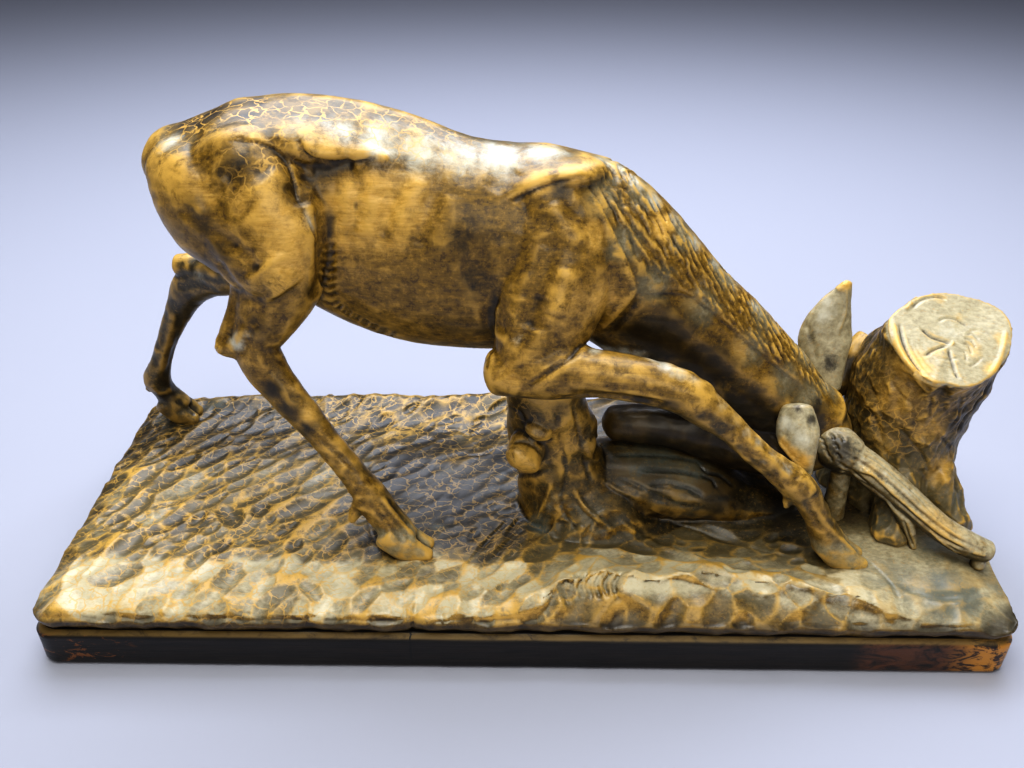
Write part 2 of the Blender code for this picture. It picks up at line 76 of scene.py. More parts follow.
# The camera, fitted to the plinth's edges in the photograph.
PHOTO_WIDTH = 1024
PHOTO_HEIGHT = 768
FOCAL_PIXELS = 900.0
SENSOR = 36.0
CAMERA_PLACE = (-0.0082, -0.4323, 0.4004)
CAMERA_PITCH = 32.9
CAMERA_ROLL = 0.6

# Fineness of the melted forms, in millimetres, how many steps relax them, and the facets of small pieces.
STAG_VOXEL = 1.0
GROUND_VOXEL = 1.05
STUMP_VOXEL = 0.8
SMALL_VOXEL = 0.6
STAG_RELAX = 8
GROUND_RELAX = 3
STUMP_RELAX = 4
SMALL_RELAX = 3
CALM_STEPS = 110
SMALL_RELIEF = 0.3
MOST_TRIANGLES = 196000
# How far the pieces stay inside the solid's box, in metres.
BOX_MARGIN = 0.0001

# Middles of the body and of the neck, about which the far side mirrors the near one, and how much of a
# mark's height it takes.
BODY_MIDDLE = 7.0
NECK_MIDDLE = -2.0
FAR_MARK_SHARE = 0.7
# The top of the open ground and the foot of the stump under the chest: its middle and how far it reaches,
# which is more to the front and back than to the sides.
OPEN_GROUND_TOP = DRAWN_GROUND + 17.0
PROP_X = 22.0
PROP_Y = -18.0
PROP_REACH = 26.0
PROP_DEEPER = 1.3
# The log's middle and half sizes, and the near hind foot, where the ground is worn smooth.
LOG_X = 96.0
LOG_Y = 2.0
LOG_LONG = 70.0
LOG_WIDE = 34.0
FOOT_X = -66.0
FOOT_Y = -52.0


def placed(points):
    """Drawing units to metres: centred on the plinth and stood on the ground's level."""
    points = np.asarray(points, dtype=float)
    return (points - [*DRAWN_MIDDLE, DRAWN_GROUND]) * UNIT + [0.0, 0.0, GROUND_LEVEL]


def drawing(points):
    """Metres back to drawing units."""
    return (points - [0.0, 0.0, GROUND_LEVEL]) / UNIT + [*DRAWN_MIDDLE, DRAWN_GROUND]


def camera_axes():
    """The camera's turn: pitched down from the level, then rolled about its own view."""
    pitch = Matrix.Rotation(math.radians(90.0 - CAMERA_PITCH), 3, "X")
    return pitch @ Matrix.Rotation(math.radians(CAMERA_ROLL), 3, "Z")


def unit(vectors):
    """Each vector over its length."""
    return vectors / np.maximum(np.linalg.norm(vectors, axis=-1, keepdims=True), 1e-9)


def eased(values):
    """0 below 0, 1 above 1 and the smooth step between."""
    values = np.clip(values, 0.0, 1.0)
    return values * values * (3.0 - 2.0 * values)


def ramp(values, start, end):
    """0 at the start, 1 at the end and the smooth step between; an end under the start falls instead."""
    return eased((values - start) / (end - start))


def smooth_path(rows, spacing):
    """A Catmull-Rom curve through rows of any width, sampled about one spacing apart."""
    rows = np.asarray(rows, dtype=float)
    padded = np.vstack([2 * rows[0] - rows[1], rows, 2 * rows[-1] - rows[-2]])
    samples = []
    for i in range(len(rows) - 1):
        a, b, c, d = padded[i:i + 4]
        count = max(2, int(np.linalg.norm(c[:3] - b[:3]) / spacing))
        t = np.linspace(0.0, 1.0, count, endpoint=False)[:, None]
        curve = 0.5 * (2 * b + (c - a) * t + (2 * a - 5 * b + 4 * c - d) * t ** 2
                       + (3 * b - a - 3 * c + d) * t ** 3)
        samples.append(curve)
    return np.vstack(samples + [rows[-1:]])


def skin(rings):
    """Vertices and faces of a stack of equal rings, closed by a fan at either end."""
    count, around = rings.shape[:2]
    vertices = np.vstack([rings.reshape(-1, 3), rings[0].mean(0), rings[-1].mean(0)])
    here = np.arange(count * around).reshape(count, around)
    beside = np.roll(here, -1, axis=1)
    quads = np.stack([here[:-1], beside[:-1], beside[1:], here[1:]], axis=-1).reshape(-1, 4)
    first, last = count * around, count * around + 1
    fans = [(first, b, a) for a, b in zip(here[0], beside[0])]
    fans += [(last, a, b) for a, b in zip(here[-1], beside[-1])]
    return vertices, [tuple(q) for q in quads] + fans


def loft(rows, side=(0.0, 1.0, 0.0), square=1.0, round_start=0.6, round_end=0.6, spacing=2.5, around=48):
    """A closed skin of elliptical sections: each row is x, y, z, half width along side, half depth.

    A section is its centre, plus the half width times a cosine along side, plus the half depth times a
    sine across it. Both ends are rounded off by rings that shrink as a cosine while they step outwards
    as a sine. square under 1 fills the ellipse out towards a rectangle.
    """
    path = smooth_path(rows, spacing)
    centres, sizes = path[:, :3], np.maximum(path[:, 3:5], 0.4)
    tangents = unit(np.gradient(centres, axis=0))
    caps = np.radians([80.0, 65.0, 50.0, 35.0, 18.0])
    for end, bulge in ((0, round_start), (-1, round_end)):
        outward = tangents[end] * (-1.0 if end == 0 else 1.0)
        ring_centres = centres[end] + outward * (bulge * sizes[end].min() * np.sin(caps))[:, None]
        ring_sizes = sizes[end] * np.cos(caps)[:, None]
        ring_tangents = np.repeat(tangents[end][None], len(caps), axis=0)
        if end == 0:
            centres = np.vstack([ring_centres, centres])
            sizes = np.vstack([ring_sizes, sizes])
            tangents = np.vstack([ring_tangents, tangents])
        else:
            centres = np.vstack([centres, ring_centres[::-1]])
            sizes = np.vstack([sizes, ring_sizes[::-1]])
            tangents = np.vstack([tangents, ring_tangents])
    side = np.asarray(side, dtype=float)
    across = unit(side - (tangents @ side)[:, None] * tangents)
    upward = np.cross(tangents, across)
    turn = np.linspace(0.0, 2 * np.pi, around, endpoint=False)
    c = np.sign(np.cos(turn)) * np.abs(np.cos(turn)) ** square
    s = np.sign(np.sin(turn)) * np.abs(np.sin(turn)) ** square
    rings = (centres[:, None] + across[:, None] * (sizes[:, 0:1] * c)[..., None]
             + upward[:, None] * (sizes[:, 1:2] * s)[..., None])
    return skin(rings)


def torso():
    """Rows are x, middle y, top z, bottom z, half width: the barrel from the buttocks to the chest."""
    rows = np.array([
        (-184, 8, 267, 236, 16), (-174, 8, 272, 222, 25), (-160, 8, 277, 207, 30),
        (-140, 8, 281, 195, 33), (-118, 8, 283, 182, 33), (-98, 7, 281, 169, 33),
        (-76, 6, 275, 157, 35), (-54, 5, 267, 149, 37), (-30, 4, 261, 147, 38),
        (-6, 3, 259, 148, 37), (16, 2, 260, 152, 34), (34, 1, 254, 162, 30), (48, 0, 239, 176, 25),
    ], dtype=float)
    half = 0.5 * (rows[:, 2] - rows[:, 3])
    middle = 0.5 * (rows[:, 2] + rows[:, 3])
    return loft(np.column_stack([rows[:, 0], rows[:, 1], middle, rows[:, 4], half]), square=0.92)


def neck():
    """From the withers down to the poll, deep at the chest and slim behind the ears."""
    return loft([(2, 2, 213, 28, 44), (24, 1, 208, 30, 48), (47, 0, 195, 29, 43),
                 (77, -1, 169, 27, 38), (107, -2, 145, 25, 35), (135, -3, 125, 23, 29),
                 (157, -4, 109, 21, 23), (172, -4, 102, 19, 19)])


def head():
    """Turned under: poll at the right, muzzle back below the chest, brow down and jaw up."""
    return loft([(178, -4, 98, 20, 20), (166, -4, 92, 23, 24), (148, -3, 89, 24, 25),
                 (128, -2, 88, 21, 22), (106, 0, 89, 15, 17), (84, 2, 91, 12, 13),
                 (66, 3, 92, 11.5, 12), (56, 4, 91, 10.5, 11)], round_end=0.9)


def bony_points():
    """The shelf of the loin out to the hip bone, the withers over the shoulder blade, and the rump."""
    loin = [(-150, -4, 262, 16, 12), (-126, -5, 264, 18, 12), (-106, -6, 264, 19, 12),
            (-92, -7, 262, 18, 10), (-82, -10, 261, 14, 8), (-74, -15, 260, 8, 5), (-68, -20, 259, 3, 3)]
    withers = [(-14, -14, 240, 8, 5), (-4, -12, 244, 13, 8), (6, -9, 248, 16, 9), (16, -8, 250, 17, 8),
               (26, -8, 252, 16, 6), (34, -6, 251, 10, 5)]
    rump = [(-175, -4, 250, 16, 16), (-165, -11, 242, 21, 24), (-152, -16, 230, 22, 28),
            (-141, -18, 216, 19, 24)]
    bones = []
    for rows, middle, drop in ((loin, BODY_MIDDLE, 4.0), (withers, 2.0, 12.0), (rump, 8.0, 4.0)):
        bones.append(loft(rows))
        bones.append(loft([(x, 2.0 * middle - y, z - drop, a, b) for x, y, z, a, b in rows]))
    return bones


def near_hind_leg():
    """Thigh to fetlock down one line, then the hock's heel, the tendon over it and the spur."""
    return [
        loft([(-138, -8, 256, 24, 26), (-134, -18, 240, 22, 32), (-130, -24, 224, 20, 34),
              (-126, -28, 208, 18, 27), (-125, -30, 194, 15, 20), (-132, -33, 180, 12, 16),
              (-139, -35, 167, 9, 12), (-136, -37, 154, 8, 12), (-127, -40, 140, 7.5, 10.5),
              (-114, -43, 122, 7, 8.6), (-102, -46, 105, 7, 7.8), (-91, -49, 89, 7.5, 8),
              (-83, -51, 76, 8.5, 9.5), (-76, -53, 64, 9, 9.5), (-68, -55, 52, 10, 9.5)]),
        loft([(-136, -36, 163, 7, 9), (-148, -35, 165, 6.5, 8), (-157, -34, 165, 5, 6.5)]),
        loft([(-138, -26, 206, 7, 10), (-146, -30, 186, 5, 6), (-153, -33, 171, 5, 5)]),
        loft([(-90, -52, 76, 3, 4.5), (-94, -53, 68, 2.6, 3.6), (-96, -53, 62, 1.6, 2.4)]),
    ]


def far_hind_leg():
    """The same, set back and less bent."""
    return [
        loft([(-140, 22, 246, 22, 30), (-138, 32, 222, 20, 31), (-142, 38, 202, 17, 24),
              (-154, 44, 182, 14, 19), (-172, 50, 167, 11, 15.5), (-192, 57, 158, 9, 13),
              (-205, 62, 149, 8.5, 12), (-214, 66, 136, 7.5, 9.5), (-223, 68, 121, 7, 7.6),
              (-232, 69, 104, 6.5, 6.5), (-239, 70, 88, 7, 7), (-244, 71, 76, 8.5, 9),
              (-241, 72, 66, 7, 7.5), (-236, 73, 54, 9, 10)]),
        loft([(-188, 58, 161, 8, 8), (-198, 59, 165, 7.5, 7.5), (-210, 60, 165, 6.5, 6.5)], round_end=0.3),
        loft([(-248, 72, 73, 3, 4), (-252, 72, 66, 2.2, 3)]),
    ]


def near_foreleg():
    """Shoulder and upper arm, then forearm, knee and shank, then the spur."""
    return [
        loft([(8, -10, 244, 16, 20), (12, -18, 226, 16, 25), (14, -24, 206, 16, 28),
              (10, -29, 186, 16, 28), (4, -33, 168, 16, 24), (-4, -37, 154, 14, 15)]),
        loft([(-16, -38, 152, 10, 13), (10, -42, 155, 12, 15), (38, -46, 157, 11, 13),
              (62, -49, 154, 10.5, 12), (80, -51, 149, 10.5, 11.5), (93, -53, 140, 9, 10),
              (106, -54, 130, 7, 8), (119, -56, 118, 6.5, 7.2), (132, -57, 107, 7, 7.5),
              (143, -58, 98, 8.5, 9), (151, -59, 90, 8, 8.5), (158, -60, 79, 7.5, 7.5),
              (164, -60, 68, 8.5, 8), (170, -60, 57, 9.5, 10)]),
        loft([(143, -60, 94, 3, 4.5), (142, -61, 87, 2.4, 3.4), (142, -61, 82, 1.5, 2.0)]),
    ]


def far_foreleg():
    """The same, stretched forward on the far side."""
    return [
        loft([(8, 12, 236, 16, 22), (10, 22, 208, 16, 27), (6, 28, 182, 16, 24),
              (-2, 32, 158, 13, 15)]),
        loft([(-10, 34, 154, 10, 13), (12, 36, 155, 11, 13), (40, 38, 154, 10, 11),
              (64, 40, 148, 9, 9.5), (82, 42, 142, 9, 9), (96, 44, 130, 7.5, 8),
              (112, 46, 114, 6.5, 7), (126, 48, 100, 7, 7.5), (136, 50, 88, 8.5, 8.5),
              (143, 51, 76, 7.5, 7.5), (150, 52, 64, 8.5, 8.5), (156, 52, 54, 9, 10)]),
        loft([(128, 53, 86, 3, 4), (126, 54, 78, 2, 3)]),
    ]


def hooves():
    """Two claws to a foot, each a short wedge that widens to its sole."""
    feet = [(-66, -56, 28), (-234, 74, 22), (178, -60, 26), (160, 52, 24)]
    splay = 4.6
    claws = []
    for x, y, length in feet:
        for shift in (-splay, splay):
            claws.append(loft([(x - 0.38 * length, y + shift, 58, 5.0, 8),
                               (x, y + shift, 49, 5.4, 8.5),
                               (x + 0.46 * length, y + shift, 44, 4.0, 4.0)]))
    return claws


def near_ear():
    """A leaf that widens and comes to a point, and its root on the head."""
    leaf = loft([(149, -27, 124, 6, 8.5), (149, -31, 118, 6.5, 11), (150, -36, 110, 6, 11.5),
                 (153, -41, 101, 4.5, 7), (157, -44, 92, 1.6, 2.0)], side=(0.2, 1.0, 0.5), round_start=0.5)
    root = loft([(150, -26, 118, 7, 6), (152, -8, 112, 8, 7)])
    return [leaf, root]


def far_ear():
    """A taller leaf, upright behind the head."""
    return [loft([(180, 12, 112, 5, 7), (177, 17, 126, 5, 11.5), (175, 22, 141, 5, 15.5),
                  (178, 26, 157, 4.5, 11), (184, 29, 173, 2.0, 2.5)], side=(0.1, 1.0, 0.2))]


def near_antler():
    """Burr, beam, brow tine, the block left under the burr, and the beam's turned-down tip."""
    across = (0.2, 0.4, 1.0)
    burr = loft([(172, -18, 98, 11, 11), (178, -22, 94, 13, 13), (184, -26, 91, 12, 12)], side=across)
    beam = loft([(178, -22, 95, 9, 9), (192, -30, 88, 9.5, 9.5), (206, -38, 80, 9, 9.5),
                 (220, -46, 71, 8, 9), (234, -54, 62, 7.5, 8), (248, -60, 56, 7.5, 7.5),
                 (258, -62, 53, 6.5, 6.5)], side=across)
    tine = loft([(206, -40, 78, 6, 6), (212, -46, 68, 4.5, 5), (218, -50, 58, 3.5, 4),
                 (222, -53, 47, 2, 2.5)], side=across)
    prop = loft([(182, -25, 90, 5.5, 6), (183, -26, 70, 5, 6), (184, -26, 44, 5.5, 7)])
    stub = loft([(254, -62, 52, 4, 4), (255, -64, 44, 4, 4)])
    return [burr, beam, tine, prop, stub]


def far_antler():
    """The broken stub, and the web of wood that ties it to the stump."""
    stub = loft([(178, 14, 104, 9, 9), (188, 20, 116, 8.5, 9), (197, 26, 128, 8, 8.5),
                 (204, 30, 136, 7, 7)], side=(0.0, 1.0, 0.3), round_end=0.1)
    web = loft([(196, 20, 122, 7, 8), (208, 16, 124, 6, 7), (220, 8, 124, 6, 7)])
    return [stub, web]


def tree_stump():
    """The sawn stump at the end of the block, its cut face tipped to the front, with root flares."""
    trunk = loft([(227, 0, 30, 40, 42), (226, 0, 50, 34, 34), (225, 2, 76, 31, 32),
                  (225, 6, 102, 32, 35), (228, 7, 124, 33, 37), (232, 3, 142, 31, 35),
                  (233, -4, 157, 31, 33)], round_end=0.0, around=96)
    foot_x, foot_y = 228.0, -4.0
    flares = [(252, 18, 20), (257, -14, 10), (254, -34, 11), (212, -42, 14), (196, 12, 16), (222, 36, 18)]
    roots = [loft([(foot_x, foot_y, 92, 10, 10), (0.5 * (x + foot_x), 0.5 * (y + foot_y), 70, 13, 13),
                   (x, y, 46, size, 0.8 * size)]) for x, y, size in flares]
    return [trunk] + roots


def prop_stump():
    """The knotted stump that carries the chest."""
    trunk = loft([(34, -13, 34, 44, 56), (32, -13, 45, 34, 43), (26, -12, 60, 24, 30),
                  (19, -12, 80, 20, 25), (16, -12, 98, 19, 26), (12, -16, 118, 18, 22),
                  (10, -20, 138, 15, 20)])
    knots = [loft([(2, -28, 98, 9, 11), (-1, -38, 94, 8, 11)]),
             loft([(8, -28, 113, 6, 9), (7, -34, 111, 5, 8)]),
             loft([(32, -20, 94, 8, 10), (37, -22, 92, 6, 8)])]
    return [trunk] + knots


def fallen_log():
    """A rounded log under the head."""
    return [loft([(30, -2, 54, 20, 20), (50, -4, 58, 26, 22), (78, -4, 57, 28, 22), (106, -4, 54, 28, 20),
                  (130, -2, 46, 26, 15), (160, 0, 42, 22, 10)])]


def bank_line(x):
    """Where the front bank's rim runs: its distance to the front and its rise over the ground."""
    stations = [-270, -60, -12, 9, 17, 42, 63, 96, 127, 148, 173, 191, 215, 270]
    places = [-98, -99, -99, -95, -87, -80, -86, -81, -84, -89, -92, -96, -99, -99]
    rises = [-1, -1, 0, 4, 8, 12, 10, 11, 9, 8, 7, 3, -2, -5]
    return np.interp(x, stations, places), np.interp(x, stations, rises)


def ground_height(x, y):
    """Height over the ground's level: swells, the dip by the log, and the front bank with its steep face."""
    mounds = [
        (-24, 92, 40, 16, 10.0), (-100, 96, 50, 20, 9.0), (-190, 98, 50, 20, 7.0), (60, 90, 60, 24, 8.0),
        (150, 80, 60, 24, 8.0), (-60, 30, 50, 30, 3.0), (-120, -60, 60, 24, 1.0),
        (120, -42, 60, 14, -3.0), (228, -10, 60, 50, 6.0),
    ]
    height = np.zeros_like(x)
    for cx, cy, rx, ry, swell in mounds:
        height = height + swell * np.exp(-((x - cx) / rx) ** 2 - ((y - cy) / ry) ** 2)
    rim, rise = bank_line(x)
    behind = np.maximum(y - rim, 0.0)
    before = np.clip((rim - y) / np.maximum(rim + 102.0, 1.0), 0.0, 1.0)
    rise = rise + 0.8 * np.sin(x / 7.0) + 0.6 * np.sin(x / 3.1 + 1.0)
    height = height + rise * np.exp(-(behind / 17.0) ** 2)
    return height - before ** 0.75 * (rise + 6.0)


def rounded_rectangle(half_length, half_depth, radius, count):
    """Points round a rectangle, anticlockwise, with its corners pulled in to arcs of the radius."""
    half = np.array([half_length, half_depth])
    corners = half * np.array([(1, -1), (1, 1), (-1, 1), (-1, -1), (1, -1)])
    lengths = np.linalg.norm(np.diff(corners, axis=0), axis=1)
    stops = np.concatenate([[0.0], np.cumsum(lengths)])
    walk = np.linspace(0.0, stops[-1], count, endpoint=False)
    points = np.column_stack([np.interp(walk, stops, corners[:, axis]) for axis in (0, 1)])
    core = np.clip(points, radius - half, half - radius)
    return core + radius * unit(points - core)


def ground_block():
    """The carved earth: rings from the middle out to the lip, down its face and in under it."""
    edge = rounded_rectangle(0.5 * PLINTH_LENGTH / UNIT, 0.5 * PLINTH_DEPTH / UNIT,
                             CORNER_RADIUS / UNIT, 1400)
    wander = 0.7 * np.sin(edge[:, 0] / 11.0) + 0.5 * np.sin(edge[:, 0] / 4.7 + edge[:, 1] / 6.0)
    edge = edge - unit(edge) * (0.9 + wander)[:, None]
    thickness = GROUND_THICKNESS / UNIT
    groove_floor = thickness + GROOVE_HEIGHT / UNIT
    inset = GROOVE_DEPTH / UNIT
    rings = []
    for share in np.concatenate([np.linspace(0.01, 0.7, 90), np.linspace(0.705, 0.985, 60), [0.992, 0.997]]):
        x, y = (edge * share).T
        fall = np.clip((share - 0.88) / 0.12, 0.0, 1.0) ** 1.7 * 0.42 * thickness
        rings.append(np.column_stack([x, y, ground_height(x, y) - fall]))
    lip = [(0.6 * thickness, 0.0), (0.8 * thickness, 0.0), (0.97 * thickness, 0.3 * inset),
           (groove_floor, inset), (groove_floor + 0.4 * thickness, inset)]
    for down, step_in in lip:
        shrink = 1.0 - step_in / (0.5 * PLINTH_DEPTH / UNIT)
        rings.append(np.column_stack([edge * shrink, np.full(len(edge), -down)]))
    rings = np.array(rings) + np.array([*DRAWN_MIDDLE, DRAWN_GROUND])
    return skin(rings[::-1])


def new_object(name, vertices, faces):
    """A mesh of these vertices and faces, in the scene."""
    mesh = bpy.data.meshes.new(name)
    mesh.from_pydata(vertices.tolist(), [], faces)
    obj = bpy.data.objects.new(name, mesh)
    bpy.context.scene.collection.objects.link(obj)
    return obj


def applied(obj):
    """Make the object's modifiers part of its mesh."""
    graph = bpy.context.evaluated_depsgraph_get()
    mesh = bpy.data.meshes.new_from_object(obj.evaluated_get(graph))
    old = obj.data
    obj.modifiers.clear()
    obj.data = mesh
    bpy.data.meshes.remove(old)


def melted(name, skins, voxel, relax_steps):
    """Join closed skins, melt them into one surface and relax it."""
    vertices, faces, offset = [], [], 0
    for points, polygons in skins:
        vertices.append(placed(points))
        faces += [tuple(int(i) + offset for i in polygon) for polygon in polygons]
        offset += len(points)
    obj = new_object(name, np.vstack(vertices), faces)
    remesh = obj.modifiers.new("melt", "REMESH")
    remesh.mode = "VOXEL"
    remesh.voxel_size = voxel * UNIT
    relax = obj.modifiers.new("relax", "SMOOTH")
    relax.factor = 0.5
    relax.iterations = relax_steps
    applied(obj)
    return obj


def thinned(obj):
    """Collapse the edges that matter least until the piece is within its triangles."""
    triangles = sum(len(p.vertices) - 2 for p in obj.data.polygons)
    if triangles > MOST_TRIANGLES:
        thin = obj.modifiers.new("thin", "DECIMATE")
        thin.ratio = MOST_TRIANGLES / triangles
        applied(obj)


class Carving:
    """A piece's vertices in drawing units, with the surface under them to find photographed marks on."""

    def __init__(self, obj):
        self.obj = obj
        self.tree = None
        self.refresh()

    def refresh(self):
        """Read the vertices and their normals from the mesh."""
        mesh = self.obj.data
        flat = np.empty(len(mesh.vertices) * 3)
        mesh.vertices.foreach_get("co", flat)
        self.points = drawing(flat.reshape(-1, 3))
        mesh.vertex_normals.foreach_get("vector", flat)
        self.normals = flat.reshape(-1, 3).copy()

    def write(self):
        """Give the moved vertices to the mesh and take its new normals."""
        self.obj.data.vertices.foreach_set("co", placed(self.points).ravel())
        self.obj.data.update()
        self.refresh()

    def keep(self):
        """Hold the surface as it is now: every mark from here on is found on it."""
        graph = bpy.context.evaluated_depsgraph_get()
        self.tree = BVHTree.FromObject(self.obj, graph)

    def edges(self):
        """The mesh's edges, as pairs of vertex numbers."""
        mesh = self.obj.data
        pairs = np.empty(len(mesh.edges) * 2, dtype=np.int32)
        mesh.edges.foreach_get("vertices", pairs)
        return pairs.reshape(-1, 2)

    def found(self, pixels):
        """The places on the surface, in drawing units, that pixels of the photograph show."""
        axes = camera_axes()
        hits = []
        for u, v in pixels:
            aim = Vector((u - 0.5 * PHOTO_WIDTH, 0.5 * PHOTO_HEIGHT - v, -FOCAL_PIXELS))
            place = self.tree.ray_cast(Vector(CAMERA_PLACE), axes @ aim)[0]
            if place is not None:
                hits.append(place)
        return drawing(np.array(hits).reshape(-1, 3))

    def nearest(self, point):
        """The place on the surface, in drawing units, that is nearest to a point."""
        place = self.tree.find_nearest(Vector(placed(point)))[0]
        return drawing(np.array(place))


def path_distance(points, path, radius):
    """The vertices within the radius of a path: how far off, on which side, and how far along it."""
    low, high = path.min(0) - radius, path.max(0) + radius
    inside = np.flatnonzero(np.all((points > low) & (points < high), axis=1))
    picked = points[inside]
    best = np.full(len(picked), np.inf)
    offset = np.zeros_like(picked)
    heading = np.zeros_like(picked)
    walked = np.zeros(len(picked))
    for index, (a, b) in enumerate(zip(path[:-1], path[1:])):
        along = b - a
        share = np.clip((picked - a) @ along / max(along @ along, 1e-9), 0.0, 1.0)
        away = picked - a - share[:, None] * along
        distance = np.linalg.norm(away, axis=1)
        nearer = distance < best
        best[nearer] = distance[nearer]
        offset[nearer] = away[nearer]
        heading[nearer] = along
        walked[nearer] = (index + share[nearer]) / (len(path) - 1)
    close = best < radius
    return inside[close], best[close], offset[close], heading[close], walked[close]


def stroke(carving, path, radius, height, kind="round"):
    """Raise or sink the surface along a path.

    A round stroke is a smooth swell, the square of one less the squared share of the radius. A cut is
    a sharp groove, one less the share. A left or right step drops on that side of the path only, from
    its full height at the path to nothing at the radius.
    """
    if len(path) < 2:
        return
    path = smooth_path(path, 2.0) if len(path) > 2 else path
    near, distance, offset, heading, walked = path_distance(carving.points, path, radius)
    share = distance / radius
    if kind == "round":
        weight = (1.0 - share ** 2) ** 2
    elif kind == "cut":
        weight = (1.0 - share) ** 1.3
    else:
        side = np.einsum("ij,ij->i", np.cross(carving.normals[near], heading), offset)
        side = side / np.maximum(np.linalg.norm(heading, axis=1), 1e-9)
        side = side if kind == "left" else -side
        weight = (1.0 - share) * eased(0.5 + side / 0.9)
    weight = weight * eased(0.25 + walked * 5.0) * eased(0.25 + (1.0 - walked) * 5.0)
    carving.points[near] += carving.normals[near] * (weight * height)[:, None]


def cells(points, size, seed):
    """Distance to the nearest of points scattered one to a cube, in units of size.

    A point's place in its cube is the fraction of a large multiple of a sine of the cube's number.
    """
    weights = np.array([[127.1, 311.7, 74.7], [269.5, 183.3, 246.1], [113.5, 271.9, 124.6]])
    multiple = 43758.5453
    scaled = points / size
    corner = np.floor(scaled) - 1.0
    nearest = np.full(len(points), np.inf)
    for offset in np.ndindex(3, 3, 3):
        cell = corner + offset
        jitter = np.sin((cell + seed) @ weights.T) * multiple
        distance = np.linalg.norm(cell + jitter - np.floor(jitter) - scaled, axis=1)
        nearest = np.minimum(nearest, distance)
    return nearest


def waves(points, size, seed):
    """A smooth wandering between about -1 and 1: four octaves of crossed sines of turned coordinates."""
    total = np.zeros(len(points))
    random = np.random.default_rng(seed)
    for octave in range(4):
        turn = unit(random.normal(size=(3, 3)))
        phase = random.uniform(0.0, 2 * np.pi, 3)
        turned = points @ turn.T * (2 * np.pi / size) * 1.7 ** octave * 0.5 + phase
        crossed = np.sin(turned[:, 0]) * np.sin(turned[:, 1]) * np.sin(turned[:, 2] + turned[:, 0])
        total += crossed / 1.3 ** octave
    return total / 1.4


def nearness(points, spots):
    """At each point the strongest of soft round spots: rows of x, y, z, radius and strength."""
    total = np.zeros(len(points))
    for *place, radius, strength in spots:
        distance = np.linalg.norm(points - place, axis=1)
        total = np.maximum(total, strength * np.exp(-(distance / radius) ** 2))
    return total


def calmed(carving, spots, steps):
    """Let the forms flow together near each spot: the surface moves to its own smoothed shape there."""
    smooth = spread(carving.points, carving.edges(), steps)
    carving.points += nearness(carving.points, spots)[:, None] * (smooth - carving.points)
    carving.write()


def body_strokes():
    """Bones, muscles and hollows of the near side, then plainer ones on the far side."""
    near = [
        ([(-96, -30, 248), (-82, -32, 247), (-66, -32, 245)], 9, -3.4),
        ([(-142, -28, 252), (-128, -34, 238)], 14, -2.2),
        ([(-94, -32, 240), (-96, -36, 216), (-101, -37, 190)], 10, -4.2),
        ([(-2, -36, 232), (14, -36, 237), (28, -32, 240)], 8, -2.6),
        ([(34, -28, 244), (42, -34, 226), (46, -36, 204), (40, -40, 186)], 9, 1.6),
        ([(-28, -40, 220), (-20, -42, 196), (-16, -40, 174)], 12, -3.0),
        ([(-166, -24, 244), (-156, -32, 226), (-146, -36, 206)], 9, -1.4),
        ([(-128, -40, 214), (-118, -44, 200)], 16, 3.0),
        ([(-150, -38, 214), (-140, -42, 196)], 6, -1.4),
        ([(6, -46, 200), (2, -48, 182)], 9, -2.0),
        ([(20, -44, 214), (14, -48, 190)], 12, 2.5),
        ([(64, -24, 200), (98, -24, 172), (134, -24, 144), (160, -22, 126)], 10, -2.6),
    ]
    forearm = [([(20, -56, 150), (50, -58, 149), (72, -58, 146)], 5, -1.4)]
    ribs = [([(x + 8, -36, 238), (x, -42, 214), (x - 4, -42, 192)], 6, 0.9) for x in (-78, -62, -46, -30)]
    far = [([(x, 2.0 * BODY_MIDDLE - y, z) for x, y, z in path], radius, FAR_MARK_SHARE * height)
           for path, radius, height in near]
    spine = [([(-170, 8, 276), (-118, 8, 286), (-60, 6, 272), (0, 3, 262)], 8, 1.4)]
    return near + forearm + ribs + far + spine


